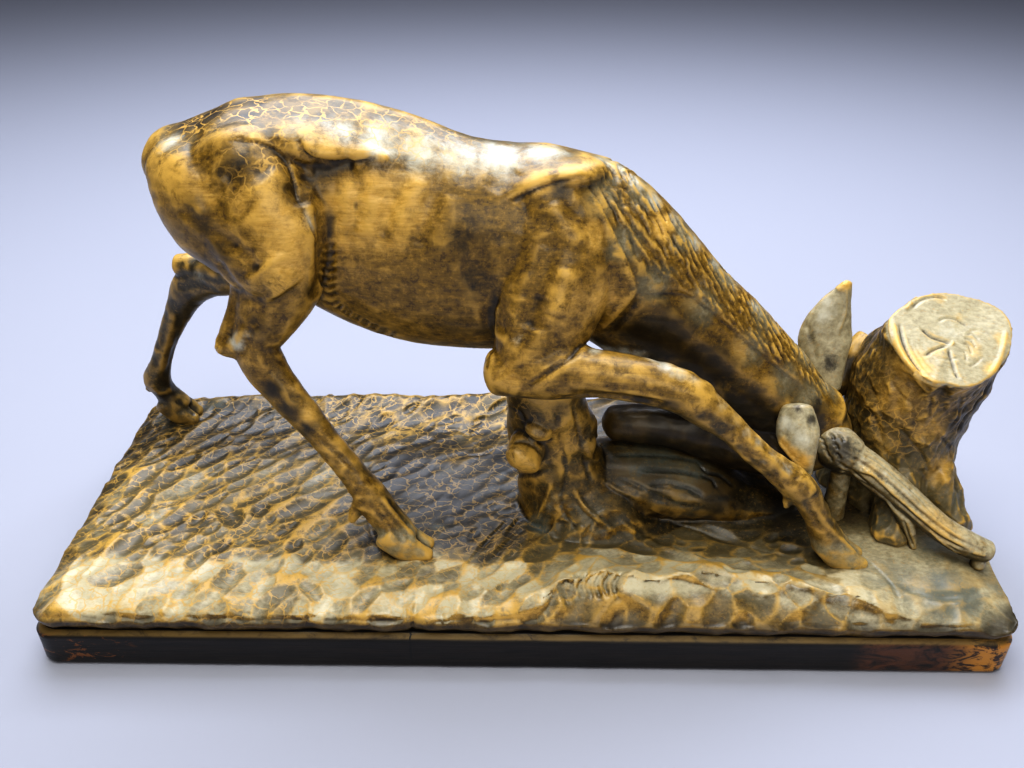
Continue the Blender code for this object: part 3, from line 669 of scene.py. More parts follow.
# Marks that show in the photograph: kind, radius and height in millimetres, and the pixels along each.
BODY_MARKS = [
    ("round", 8, -1.2, 196, 178, 207, 155, 228, 143, 252, 143),
    ("right", 9, -1.6, 232, 138, 262, 142, 284, 156, 296, 178, 300, 204),
    ("round", 9, -1.1, 206, 180, 213, 202, 222, 232, 234, 256),
    ("round", 18, 1.6, 244, 186, 262, 204, 282, 236, 290, 268),
    ("round", 14, 1.2, 180, 150, 182, 184, 194, 214, 212, 240),
    ("round", 10, -1.4, 222, 184, 236, 170, 254, 166, 268, 178),
    ("left", 8, 1.5, 300, 140, 308, 153, 326, 160, 350, 161, 374, 158),
    ("cut", 3.6, -1.4, 300, 141, 308, 155, 326, 161, 350, 161, 374, 158),
    ("round", 9, -2.0, 310, 170, 334, 170, 356, 164), ("round", 8, -1.6, 303, 172, 299, 190, 301, 208),
    ("round", 4, 0.9, 308, 200, 311, 222, 317, 244),
    ("right", 9, 1.5, 300, 206, 310, 230, 317, 252, 320, 276, 318, 303),
    ("cut", 3.4, -1.4, 300, 206, 310, 230, 317, 252, 320, 276, 318, 303),
    ("round", 6, -1.1, 181, 205, 204, 225, 224, 241, 244, 250),
    ("round", 5, -1.1, 240, 248, 252, 262, 264, 285, 273, 300),
    ("round", 5, -0.9, 262, 292, 256, 316, 252, 330), ("round", 5, -0.8, 284, 308, 278, 326, 272, 344),
    ("round", 6, 0.7, 348, 186, 345, 204, 344, 226), ("round", 7, 0.8, 376, 180, 369, 206, 364, 240),
    ("round", 8, 0.8, 422, 178, 410, 206, 398, 244), ("round", 6, -0.7, 359, 200, 357, 216, 354, 232),
    ("round", 6, -0.9, 396, 190, 388, 212, 382, 238), ("round", 7, -0.9, 436, 190, 426, 216, 418, 248),
    ("round", 8, 0.6, 456, 194, 448, 224, 438, 252),
    ("left", 8, 1.6, 507, 202, 524, 193, 542, 185, 564, 179, 588, 175),
    ("cut", 3.6, -1.5, 507, 202, 524, 193, 542, 185, 564, 179, 588, 175),
    ("round", 9, -1.2, 520, 214, 546, 200, 574, 192), ("round", 8, -0.9, 490, 190, 500, 178, 516, 168),
    ("right", 9, 1.3, 588, 178, 600, 206, 618, 242, 630, 268, 638, 290),
    ("right", 8, 1.2, 638, 290, 622, 310, 602, 330, 590, 344),
    ("cut", 3.4, -1.3, 640, 298, 624, 318, 604, 336, 594, 344),
    ("round", 8, 1.0, 552, 200, 560, 216, 572, 230, 584, 244),
    ("round", 6, -0.7, 560, 196, 572, 212, 590, 230),
    ("round", 8, -1.3, 554, 232, 548, 262, 536, 290, 524, 330, 514, 352),
    ("round", 12, 1.0, 572, 262, 566, 296, 552, 328),
    ("right", 8, -1.1, 500, 296, 492, 324, 490, 350, 488, 372),
    ("left", 7, 1.1, 596, 338, 576, 353, 556, 369, 528, 387),
    ("cut", 3.2, -1.2, 596, 338, 576, 353, 556, 369, 528, 387),
    ("round", 8, 0.9, 500, 376, 508, 386, 520, 392),
    ("round", 5, 0.7, 600, 346, 640, 354, 680, 371, 708, 384),
    ("cut", 3.4, -0.9, 552, 398, 590, 396, 640, 400, 672, 404),
    ("cut", 3.4, -0.6, 600, 386, 640, 389, 676, 396, 700, 401),
    ("round", 6, 1.1, 706, 384, 718, 390, 726, 400), ("round", 5, -0.7, 700, 412, 716, 424, 728, 436),
    ("cut", 1.1, -0.8, 733, 427, 733, 443), ("round", 3, 0.6, 744, 436, 772, 462, 792, 482),
    ("cut", 3, -0.6, 736, 444, 764, 470, 784, 490), ("round", 5, 1.0, 798, 474, 808, 482, 814, 496),
    ("cut", 3, -0.8, 806, 500, 812, 516, 822, 532),
    ("round", 2.5, 0.7, 816, 508, 826, 524, 842, 540, 854, 550),
    ("left", 8, 1.1, 646, 294, 684, 295, 708, 309, 748, 343, 783, 372, 804, 388),
    ("cut", 3.4, -1.4, 646, 294, 684, 295, 708, 309, 748, 343, 783, 372, 804, 388),
    ("round", 7, 0.8, 652, 306, 690, 314, 722, 336, 760, 370, 788, 392),
    ("round", 5, 0.9, 216, 344, 222, 352, 218, 362), ("round", 5, 0.8, 226, 350, 238, 338, 248, 330),
    ("round", 4, -0.9, 240, 356, 246, 340, 252, 326),
    ("round", 4, 0.6, 256, 348, 264, 366, 280, 388, 296, 412), ("cut", 1.6, -0.8, 262, 386, 256, 390),
    ("cut", 1.6, -0.8, 268, 392, 261, 397), ("cut", 1.6, -0.8, 274, 398, 267, 404),
    ("cut", 2.4, -0.7, 300, 423, 318, 438, 338, 454, 356, 472),
    ("round", 4, 0.6, 292, 384, 322, 412, 348, 438, 366, 460),
    ("round", 4.5, 1.1, 368, 462, 374, 470, 370, 482), ("round", 3.5, 0.8, 360, 494, 356, 504, 364, 510),
    ("round", 2.4, 0.8, 380, 496, 396, 516, 412, 534, 426, 548),
    ("cut", 2.2, -0.8, 374, 508, 388, 524, 404, 542), ("cut", 2.2, -0.7, 388, 500, 404, 520, 420, 540),
    ("round", 5, 0.8, 182, 270, 200, 268, 219, 276), ("round", 5, -0.7, 176, 288, 196, 284, 220, 292),
    ("round", 4, 0.6, 172, 308, 168, 340, 160, 372), ("round", 3, -0.6, 180, 312, 176, 344, 166, 376),
    ("round", 4, 0.8, 150, 384, 160, 392, 172, 388), ("cut", 3, -0.8, 176, 400, 188, 410, 196, 416),
]
# How many of these marks, the first ones, are repeated on the far side.
MIRRORED_MARKS = 36
# Where the forms flow into each other: a place in drawing units, how far round it, and how strongly.
CALM_SPOTS = [
    (-170, -18, 240, 26, 1.0), (-158, -28, 224, 20, 0.8), (-176, 2, 264, 24, 1.0), (-150, -26, 214, 14, 0.6),
    (-150, 0, 276, 26, 1.0), (-128, 2, 280, 26, 1.0), (-108, 2, 280, 24, 1.0), (-88, 0, 277, 22, 1.0),
    (-68, -2, 271, 22, 1.0), (-46, -4, 264, 24, 1.0), (-24, -6, 260, 22, 1.0), (-4, -6, 259, 20, 1.0),
    (14, -2, 259, 18, 0.9), (30, 2, 256, 16, 0.8), (-172, -6, 258, 24, 0.9), (-160, -18, 244, 22, 0.8),
    (-146, -24, 250, 20, 0.8), (-20, -34, 236, 18, 0.8), (-34, -34, 224, 20, 0.6), (40, -18, 244, 18, 0.7),
    (46, -28, 214, 18, 0.6), (48, -30, 190, 18, 0.6), (-112, -36, 176, 14, 0.5), (20, -44, 166, 12, 0.5),
    (-150, 16, 262, 26, 0.9), (-100, 30, 262, 24, 0.9), (-60, 26, 256, 24, 0.9), (0, 26, 250, 24, 0.9),
    (-140, -28, 196, 14, 0.5), (-128, -30, 180, 12, 0.4), (-96, -24, 254, 10, 0.5), (8, -24, 246, 10, 0.4),
]
# Painted shade on the tucked head and behind the foreleg, in the same terms.
HEAD_SHADE = [
    (60, 4, 88, 26, 1.0), (90, 2, 84, 30, 1.0), (120, 0, 80, 30, 1.0), (150, -2, 78, 28, 1.0),
    (100, -20, 120, 26, 0.9), (130, -18, 104, 26, 0.9), (70, -18, 146, 24, 0.9), (40, -10, 150, 26, 0.9),
    (20, 30, 150, 34, 0.8), (80, 40, 140, 34, 0.8), (130, 48, 100, 34, 0.8), (150, 52, 64, 26, 0.8),
]
# The tufts in the fold of the flank, and the hairs along the belly.
FLANK_TUFTS = [(244, 320), (252, 321), (260, 321), (268, 321), (276, 321), (284, 321), (292, 322), (301, 324)]
BELLY_HAIRS = [(336, 312), (345, 318), (354, 323), (362, 328), (371, 332), (380, 336), (389, 339), (399, 342)]
# The top of the mane and the furrow that ends it.
MANE_TOP = [(606, 152), (640, 181), (680, 223), (720, 266), (760, 306), (800, 346), (822, 376)]
MANE_FOOT = [(598, 190), (620, 236), (650, 276), (700, 300), (748, 342), (784, 372), (806, 390)]

EAR_MARKS = [
    ("cut", 3, -0.9, 806, 322, 812, 342, 816, 362), ("round", 2, 0.6, 846, 286, 846, 310, 838, 334),
    ("round", 3, 0.7, 820, 300, 836, 290, 846, 283), ("round", 2.2, 0.8, 778, 440, 790, 456, 806, 470),
    ("round", 3, -0.8, 790, 412, 786, 426, 784, 438), ("cut", 2.4, -0.6, 808, 416, 812, 436, 808, 460),
]
# Long grooves of the beam, the wrinkles of the burr and the nicks along the beam's top.
ANTLER_MARKS = [
    ("cut", 1.9, -1.3, 842, 452, 866, 466, 892, 486, 920, 512, 952, 536, 984, 552),
    ("cut", 1.9, -1.4, 838, 462, 862, 480, 886, 500, 908, 520),
    ("cut", 1.5, -1.0, 846, 446, 872, 458, 900, 480, 930, 508),
    ("cut", 1.7, -1.1, 894, 498, 912, 514, 938, 536, 966, 550),
    ("round", 1.5, 0.7, 850, 460, 874, 476, 900, 500, 926, 524),
    ("cut", 1.5, -0.9, 920, 500, 940, 520, 962, 536), ("round", 1.8, -1.0, 840, 470, 854, 480, 872, 490),
    ("cut", 1.4, -0.8, 904, 520, 908, 534, 914, 548), ("round", 1.6, 0.7, 858, 470, 880, 478, 902, 496),
    ("round", 1.6, 0.7, 930, 530, 944, 544, 960, 554), ("round", 1.6, 0.7, 972, 552, 986, 556, 996, 552),
]
ANTLER_NICKS = [(863, 468), (867, 469), (871, 471), (875, 473), (879, 475), (883, 477), (887, 480)]
BURR_WRINKLES = [(822, 440), (826, 452), (832, 436), (836, 446), (830, 458), (842, 438), (824, 446),
                 (838, 456)]

# The sawn face: its cracks, the curved cuts beside the pith, and the rings.
STUMP_MARKS = [
    ("cut", 1.8, -1.5, 921, 328, 932, 337, 944, 341, 951, 344),
    ("cut", 1.4, -1.1, 925, 356, 934, 350, 948, 345),
    ("cut", 1.5, -1.3, 948, 348, 952, 362, 957, 376, 964, 391), ("round", 3.0, 0.8, 951, 343, 954, 345),
    ("cut", 1.3, -0.8, 966, 334, 973, 334, 979, 340), ("cut", 1.3, -0.8, 964, 338, 971, 340, 976, 348),
    ("cut", 1.2, -0.8, 963, 343, 969, 346, 972, 355), ("cut", 1.2, -0.6, 969, 331, 979, 330, 987, 335),
    ("cut", 1.1, -0.6, 962, 350, 966, 354, 966, 361),
    ("round", 1.4, -0.7, 938, 322, 946, 318, 957, 320, 968, 327),
    ("cut", 1.3, -0.6, 934, 356, 946, 360, 958, 358, 970, 366, 984, 356),
    ("cut", 1.2, -0.5, 914, 342, 922, 356, 934, 370, 948, 380),
    ("cut", 1.2, -0.5, 908, 336, 916, 354, 930, 374, 944, 386),
    ("cut", 1.0, -0.4, 918, 340, 928, 352, 938, 362),
    ("round", 2.6, 1.6, 893, 322, 899, 347, 913, 370, 929, 392),
    ("cut", 1.8, -1.3, 899, 322, 905, 346, 918, 368, 933, 386),
    ("round", 2.2, 1.1, 905, 310, 912, 302, 926, 294, 940, 292),
    ("cut", 1.6, -0.9, 912, 308, 922, 300, 936, 297, 948, 300),
    ("round", 2.4, 0.9, 995, 302, 1005, 312, 1007, 330, 1001, 356, 990, 376),
    ("cut", 2.2, -1.2, 929, 394, 932, 404, 930, 416), ("cut", 1.8, -1.3, 962, 392, 960, 410, 954, 424),
    ("cut", 3.0, -2.6, 990, 381, 979, 400, 967, 418, 956, 434),
    ("cut", 1.6, -1.0, 984, 386, 974, 400, 962, 414), ("right", 3, -0.9, 880, 340, 872, 362, 862, 384),
    ("cut", 3, -0.9, 868, 380, 878, 402, 884, 420), ("right", 3, -0.8, 890, 372, 900, 392, 916, 404),
    ("right", 3, -1.0, 936, 430, 950, 446, 956, 470), ("left", 3, -0.9, 900, 430, 918, 452, 930, 476),
    ("cut", 3.4, -1.0, 872, 410, 880, 434, 886, 456), ("round", 4, -1.4, 948, 470, 960, 492, 964, 516),
    ("round", 3, 1.2, 966, 440, 972, 462, 980, 486), ("round", 3, 0.9, 836, 480, 842, 500, 846, 520),
    ("round", 3.4, -1.0, 900, 480, 906, 504, 904, 530),
]
# How far the sawn face reaches in each direction, in degrees about its middle, to a round one.
FACE_TURNS = [-164, -138, -120, -108, -95, -84, -58, -27, 1, 20, 30, 40, 58, 93, 105, 138, 164]
FACE_REACHES = [1.02, 1.08, 1.14, 1.02, 1.06, 1.04, 0.93, 0.91, 1.05, 1.24, 1.30, 1.25, 1.08, 0.94, 0.90,
                0.88, 1.02]
# The knotted stump under the chest.
PROP_MARKS = [
    ("cut", 2.6, -1.4, 509, 404, 520, 412, 524, 426), ("round", 2.2, 1.5, 528, 430, 540, 436, 552, 430),
    ("cut", 1.8, -1.2, 530, 438, 542, 443, 554, 438),
    ("cut", 2.0, -1.1, 508, 446, 524, 442, 540, 452, 550, 464),
    ("cut", 2.4, -1.6, 508, 470, 520, 476, 536, 474, 548, 468),
    ("cut", 2.2, -1.0, 556, 410, 560, 440, 566, 470, 560, 500),
    ("cut", 2.0, -0.9, 572, 404, 578, 430, 584, 462, 592, 486),
    ("round", 1.8, 1.0, 592, 430, 600, 444, 596, 460, 588, 452, 588, 436),
    ("round", 2.4, 0.9, 552, 480, 546, 500, 536, 520),
    ("round", 2.6, 1.1, 572, 486, 584, 506, 604, 524, 626, 540),
    ("cut", 2.2, -0.9, 560, 496, 566, 516, 580, 534), ("cut", 2.4, -0.9, 530, 500, 518, 520, 506, 536),
    ("round", 2.4, 0.8, 600, 476, 618, 490, 644, 500),
]
LOG_MARKS = [
    ("round", 3, 1.0, 606, 442, 650, 440, 700, 446, 730, 458),
    ("cut", 2.2, -0.7, 612, 456, 660, 456, 706, 464), ("cut", 2.2, -0.8, 640, 470, 680, 472, 720, 482),
    ("cut", 1.8, -1.2, 697, 462, 706, 472, 720, 476, 732, 486),
    ("cut", 1.6, -0.9, 700, 474, 712, 480, 716, 488),
    ("cut", 3.4, -1.0, 650, 486, 668, 484, 690, 490, 706, 500),
    ("cut", 4.0, -1.0, 646, 496, 672, 504, 706, 508), ("cut", 2.4, -0.8, 620, 478, 650, 492, 690, 508),
    ("cut", 2.2, -0.8, 736, 470, 764, 480, 790, 494),
]
# Long cuts and ridges in the ground, the fins of the bank, the leaf cuts and the drying cracks.
GROUND_MARKS = [
    ("cut", 2.6, -2.0, 440, 432, 456, 428, 472, 436), ("cut", 1.6, -1.0, 468, 452, 480, 440, 498, 434),
    ("cut", 1.6, -1.0, 466, 455, 484, 454, 500, 444), ("cut", 1.0, -0.6, 472, 450, 486, 446, 498, 438),
    ("cut", 2.6, -1.1, 600, 508, 570, 530, 530, 558, 488, 590),
    ("cut", 2.6, -1.0, 576, 506, 548, 528, 512, 554, 468, 588),
    ("cut", 2.6, -1.0, 540, 512, 516, 534, 488, 562, 452, 596),
    ("cut", 2.4, -0.9, 512, 516, 488, 540, 462, 570, 440, 600),
    ("round", 3, 1.0, 620, 520, 650, 540, 690, 556, 736, 570),
    ("right", 3, -0.9, 640, 504, 680, 524, 730, 540, 790, 556),
    ("cut", 2.6, -0.8, 420, 560, 408, 580, 396, 604),
    ("round", 2.2, 0.8, 54, 569, 90, 534, 128, 503, 176, 470, 222, 440, 266, 411),
    ("round", 2.0, 0.7, 96, 560, 140, 520, 190, 486, 240, 456),
    ("round", 2.0, 0.6, 152, 470, 196, 446, 250, 424), ("cut", 1.6, -0.9, 76, 548, 90, 540, 104, 535),
    ("cut", 1.6, -0.9, 78, 541, 92, 533, 105, 528), ("cut", 1.5, -0.8, 82, 533, 94, 526, 104, 522),
    ("cut", 1.7, -2.6, 417, 598, 415, 610, 413, 622, 412, 632), ("cut", 1.2, -0.9, 438, 608, 444, 619),
    ("cut", 1.2, -0.9, 624, 597, 626, 613),
    ("cut", 3.4, -1.4, 378, 500, 370, 520, 378, 542, 402, 556, 432, 552),
    ("cut", 3, -1.2, 166, 420, 186, 424, 208, 414, 214, 404), ("cut", 3, -1.0, 800, 560, 830, 566, 858, 560),
    ("round", 4, -1.0, 900, 586, 940, 596, 990, 592), ("right", 3.4, -0.9, 870, 560, 896, 588, 904, 612),
]
BANK_FINS = [(566, 574), (574, 571), (582, 570), (590, 569), (598, 569), (607, 569), (616, 570)]
# Single gouge cuts: the middle and the tip of each, in pixels, and how wide each is to its length.
GROUND_SCOOPS = [
    (114, 576, 146, 566, 0.5), (86, 594, 113, 604, 0.6), (341, 585, 341, 570, 0.95),
    (271, 600, 292, 590, 0.62), (181, 537, 194, 531, 0.7), (258, 537, 268, 534, 0.75),
    (281, 495, 301, 486, 0.5), (305, 507, 334, 492, 0.42), (187, 488, 212, 474, 0.55),
    (230, 516, 240, 530, 0.5), (258, 560, 280, 550, 0.6), (232, 574, 244, 556, 0.6),
    (184, 590, 196, 580, 0.75), (206, 600, 222, 592, 0.6), (150, 604, 168, 594, 0.6),
    (128, 546, 146, 530, 0.55), (158, 556, 172, 546, 0.62), (196, 560, 210, 548, 0.6),
    (224, 544, 236, 534, 0.62), (300, 560, 312, 548, 0.6), (312, 592, 322, 604, 0.62),
    (366, 598, 380, 590, 0.62), (398, 584, 414, 576, 0.5), (404, 600, 420, 594, 0.5),
    (160, 515, 176, 505, 0.5), (140, 482, 160, 466, 0.45), (120, 505, 136, 494, 0.5),
    (244, 470, 262, 458, 0.5), (214, 458, 236, 446, 0.42), (196, 520, 206, 512, 0.62),
    (284, 530, 298, 520, 0.5), (262, 508, 268, 498, 0.62), (322, 530, 336, 518, 0.5),
    (640, 548, 662, 552, 0.55), (676, 556, 698, 560, 0.55), (712, 572, 730, 578, 0.55),
    (744, 566, 764, 568, 0.55), (760, 584, 780, 588, 0.55), (792, 574, 812, 578, 0.55),
    (826, 586, 846, 592, 0.55), (866, 600, 866, 586, 0.8), (800, 594, 816, 598, 0.55),
    (836, 604, 852, 606, 0.55), (876, 580, 888, 588, 0.6), (610, 536, 634, 532, 0.5),
    (600, 552, 622, 556, 0.5), (544, 552, 560, 544, 0.6), (538, 524, 556, 516, 0.6),
    (566, 590, 580, 596, 0.55), (548, 594, 560, 584, 0.7), (652, 584, 676, 588, 0.55),
    (690, 590, 712, 596, 0.5), (760, 602, 786, 606, 0.45), (720, 536, 748, 544, 0.35),
    (520, 580, 536, 572, 0.5), (496, 596, 514, 588, 0.45),
]
# The sizes of the cuts, in millimetres; the turn of the scattered ones, in radians, at places along x.
SCOOP_SPACING = 11.0
SCOOP_HALF_WIDTHS = [4.6, 5.6, 6.8, 8.4, 9.6]
LEAST_SCOOP = 3.4
NAMED_SCOOP_DEPTH = 3.0
SCOOP_LIFT = 0.9
RIDGE_WIDTH = 0.24
SCOOP_STATIONS = [-260, -60, 40, 90, 260]
SCOOP_TURNS = [0.95, 0.8, 0.75, 0.15, 0.3]



def marked(carving, marks):
    """A stroke along each mark's pixels."""
    for kind, radius, height, *pixels in marks:
        stroke(carving, carving.found(np.reshape(pixels, (-1, 2))), radius, height, kind)


def mirrored(carving, marks, share):
    """The same marks, a share as high, on the side that the photograph doesn't show."""
    for kind, radius, height, *pixels in marks:
        near = carving.found(np.reshape(pixels, (-1, 2)))
        swapped = {"left": "right", "right": "left"}.get(kind, kind)
        far = [carving.nearest((x, 2.0 * BODY_MIDDLE - y, z)) for x, y, z in near]
        if len(far) > 1:
            stroke(carving, np.array(far), radius, share * height, swapped)


def tufts(carving):
    """Short curved cuts in the fold of the flank and slanting ones along the belly's edge."""
    for v, u in FLANK_TUFTS:
        path = carving.found([(u, v), (u + 5, v + 3), (u + 10, v + 3), (u + 15, v)])
        stroke(carving, path, 1.7, -1.1, "cut")
    for u, v in BELLY_HAIRS:
        path = carving.found([(u + 6, v - 7), (u + 2, v - 2), (u - 1, v + 4)])
        stroke(carving, path, 1.6, -1.5, "cut")
        path = carving.found([(u + 11, v - 4), (u + 7, v + 1), (u + 4, v + 6)])
        stroke(carving, path, 1.4, -1.1, "cut")


def mane(carving):
    """Almond-shaped strands: rows of short slanting cuts from the crest of the neck to its furrow."""
    random = np.random.default_rng(11)
    top, foot = [smooth_path([(u, v, 0.0) for u, v in line], 1.0)[:, :2] for line in (MANE_TOP, MANE_FOOT)]
    steps, rows = 60, 5
    for row in range(rows):
        for step in range(steps):
            along = (step + 0.5 * (row % 2) + random.uniform(-0.18, 0.18)) / steps
            down = (row + random.uniform(0.0, 0.4)) / rows
            start = top[int(np.clip(along, 0, 0.999) * len(top))]
            end = foot[int(np.clip(along, 0, 0.999) * len(foot))]
            place = start + (end - start) * down
            lean = math.radians(random.uniform(58.0, 70.0))
            length = random.uniform(15.0, 27.0)
            tip = place + length * np.array([math.cos(lean), math.sin(lean)])
            bend = 0.5 * (place + tip) + random.uniform(-2.2, 2.2, 2)
            path = carving.found([place, bend, tip])
            if len(path) < 3:
                continue
            deep = random.uniform(0.6, 1.2)
            stroke(carving, path, 1.3, -deep, "cut")
            other = np.array([carving.nearest((x, 2.0 * NECK_MIDDLE - y, z)) for x, y, z in path])
            stroke(carving, other, 1.25, -0.8 * deep, "cut")


def tooled(carving, size, depth, seed):
    """The flat facets that a chisel leaves: shallow bowls about this size, meeting in soft ridges."""
    facet = np.clip(cells(carving.points, size, seed), 0.0, 1.0) ** 2 - 0.3
    carving.points += carving.normals * (facet * depth)[:, None]


def faded(carving, before, share):
    """Keep only a share of what was carved since before, vertex by vertex."""
    carving.points = before + (carving.points - before) * share[:, None]


def named_bowls(carving):
    """The photographed cuts as rows of x, y, turn, half length, half width and depth."""
    bowls = []
    for *ends, width in GROUND_SCOOPS:
        ends = carving.found(np.reshape(ends, (2, 2)))
        if len(ends) < 2:
            continue
        arm = ends[1, :2] - ends[0, :2]
        reach = 1.25 * np.linalg.norm(arm)
        half_width = max(0.85 * reach * width, LEAST_SCOOP)
        bowls.append((*ends[0, :2], math.atan2(arm[1], arm[0]), reach, half_width, NAMED_SCOOP_DEPTH))
    return bowls


def scattered_bowls(named, random):
    """One more cut to each square of a grid, moved about in it, where no named one lies near."""
    named = np.array(named)
    half = 0.5 * np.array([PLINTH_LENGTH, PLINTH_DEPTH]) / UNIT
    columns, rows = (2 * half / SCOOP_SPACING).astype(int) + 1
    bowls = []
    for row, column in np.ndindex(rows, columns):
        x, y = (np.array([column, row]) + random.uniform(0.05, 0.95, 2)) * SCOOP_SPACING - half
        if np.any(np.hypot(named[:, 0] - x, named[:, 1] - y) < 0.62 * named[:, 3]):
            continue
        long_cut = 1.3 + 0.7 * ramp(y, -50, 20) + random.uniform(0.0, 0.8)
        size = random.choice(SCOOP_HALF_WIDTHS)
        turn = np.interp(x, SCOOP_STATIONS, SCOOP_TURNS) + random.uniform(-0.4, 0.4)
        bowls.append((x, y, turn, size * long_cut, size, random.uniform(1.6, 2.9)))
    return bowls


def ground_scoops(carving):
    """The lower envelope of oval bowls: named ones from the photograph and scattered ones between.

    Each bowl is a paraboloid, zero at its rim and its depth at the middle; the surface follows the
    lowest of them, so sharp ridges stay where two meet. Returns how near each vertex is to a ridge and
    a random tone for the cut that it lies in, which stands partly for the sheen each facet catches.
    """
    random = np.random.default_rng(7)
    named = named_bowls(carving)
    lowest, second, tone = np.zeros((3, len(carving.points)))
    for x, y, turn, long_half, wide_half, depth in named + scattered_bowls(named, random):
        dx, dy = carving.points[:, 0] - x, carving.points[:, 1] - y
        near = np.flatnonzero((np.abs(dx) < 1.2 * long_half) & (np.abs(dy) < 1.2 * long_half))
        dx, dy = dx[near], dy[near]
        u = (dx * math.cos(turn) + dy * math.sin(turn)) / long_half
        v = (-dx * math.sin(turn) + dy * math.cos(turn)) / wide_half
        bowl = depth * (u * u + v * v - 1.0)
        # Each cut gets a random tone, which stands partly for the sheen that its facet catches.
        tone[near] = np.where(bowl < lowest[near], random.uniform(0.0, 1.0), tone[near])
        second[near] = np.minimum(second[near], np.maximum(lowest[near], bowl))
        lowest[near] = np.minimum(lowest[near], bowl)
    x, y = carving.points[:, :2].T
    smooth_right = ramp(x, 145, 175) * ramp(y, -92, -82)
    smooth_middle = ramp(x, -95, -65) * ramp(y, -66, -50) * ramp(y, 60, 20)
    smooth_middle = smooth_middle * (1.0 - eased(x / 20.0) * ramp(y, -34, -46))
    smooth_hoof = np.exp(-((x - FOOT_X) / 26.0) ** 2 - ((y - FOOT_Y) / 22.0) ** 2)
    calm = (1.0 - 0.85 * smooth_right) * (1.0 - 0.6 * smooth_middle) * (1.0 - 0.8 * smooth_hoof)
    upward = eased((carving.normals[:, 2] - 0.15) / 0.4)
    carving.points += carving.normals * ((lowest + SCOOP_LIFT) * upward * calm)[:, None]
    return np.exp(-((second - lowest) / RIDGE_WIDTH) ** 2) * upward * calm, tone


# Patches of finish, among them painted sheen and painted shade: rows of a radius in millimetres, a strength
# and pixels of the photograph.
STAG_GOLD = [
    (26, 0.55, 286, 246), (24, 0.45, 570, 320), (22, 0.85, 384, 206), (22, 0.6, 570, 300),
    (20, 0.9, 285, 255), (20, 0.85, 352, 208), (20, 0.5, 272, 222), (18, 0.8, 270, 215),
    (18, 0.75, 412, 208), (18, 0.7, 370, 236), (18, 0.3, 440, 300), (16, 0.5, 214, 230, 520, 360),
    (16, 0.3, 640, 250, 380, 300), (14, 0.9, 290, 235), (14, 0.8, 600, 300), (14, 0.6, 262, 240, 200, 190),
    (14, 0.5, 388, 262, 352, 270), (14, 0.4, 170, 180), (12, 0.7, 596, 235, 510, 380, 740, 352),
    (12, 0.6, 250, 205, 590, 370, 640, 376), (12, 0.5, 690, 306, 230, 290), (12, 0.4, 414, 262),
    (11, 0.9, 408, 200), (11, 0.8, 402, 220), (11, 0.7, 398, 240), (10, 0.9, 368, 202, 365, 222),
    (10, 0.8, 386, 190), (10, 0.7, 345, 244, 362, 242), (10, 0.6, 600, 205, 770, 385),
    (10, 0.5, 690, 388, 800, 372, 150, 160), (10, 0.4, 250, 310), (9, 1.0, 664, 226),
    (9, 0.9, 344, 206, 372, 184, 330, 150, 540, 180, 570, 173), (9, 0.8, 343, 224, 416, 184),
    (9, 0.7, 310, 412), (9, 0.6, 340, 440), (9, 0.5, 440, 196), (9, 0.4, 828, 540), (8, 0.9, 347, 190),
    (8, 0.8, 355, 154), (8, 0.5, 795, 486, 262, 372, 176, 330), (8, 0.4, 745, 452, 164, 362),
    (7, 0.5, 706, 404, 762, 470), (7, 0.4, 824, 530), (6, 0.7, 866, 348), (6, 0.5, 812, 500),
]
# Painted sheen: pale patches where the wax along the back, the mane, the forearm and the hock catches the
# light.
STAG_SHEEN = [
    (16, 0.9, 500, 156), (16, 0.8, 380, 142, 420, 152, 460, 156), (16, 0.5, 300, 128), (14, 0.9, 545, 150),
    (14, 0.7, 340, 132), (14, 0.3, 270, 120), (12, 0.7, 580, 150), (12, 0.6, 440, 146),
    (10, 0.4, 640, 210, 672, 246, 704, 282), (9, 0.9, 168, 142), (9, 0.4, 620, 180), (8, 0.8, 656, 200),
    (8, 0.7, 618, 166, 636, 182, 676, 220, 696, 242), (8, 0.6, 600, 160, 716, 264, 736, 284, 756, 306),
    (8, 0.5, 200, 276, 778, 328, 722, 404, 748, 432, 760, 443, 774, 456), (8, 0.45, 736, 420, 788, 467),
    (8, 0.4, 315, 180), (7, 0.8, 237, 342), (7, 0.7, 309, 222), (7, 0.4, 808, 482),
    (6, 0.9, 638, 355, 652, 360, 666, 366, 680, 373), (6, 0.8, 610, 349, 624, 351),
    (6, 0.7, 596, 350, 694, 380), (6, 0.5, 534, 186, 520, 340), (6, 0.4, 546, 250, 765, 460),
    (5, 0.6, 246, 334),
]
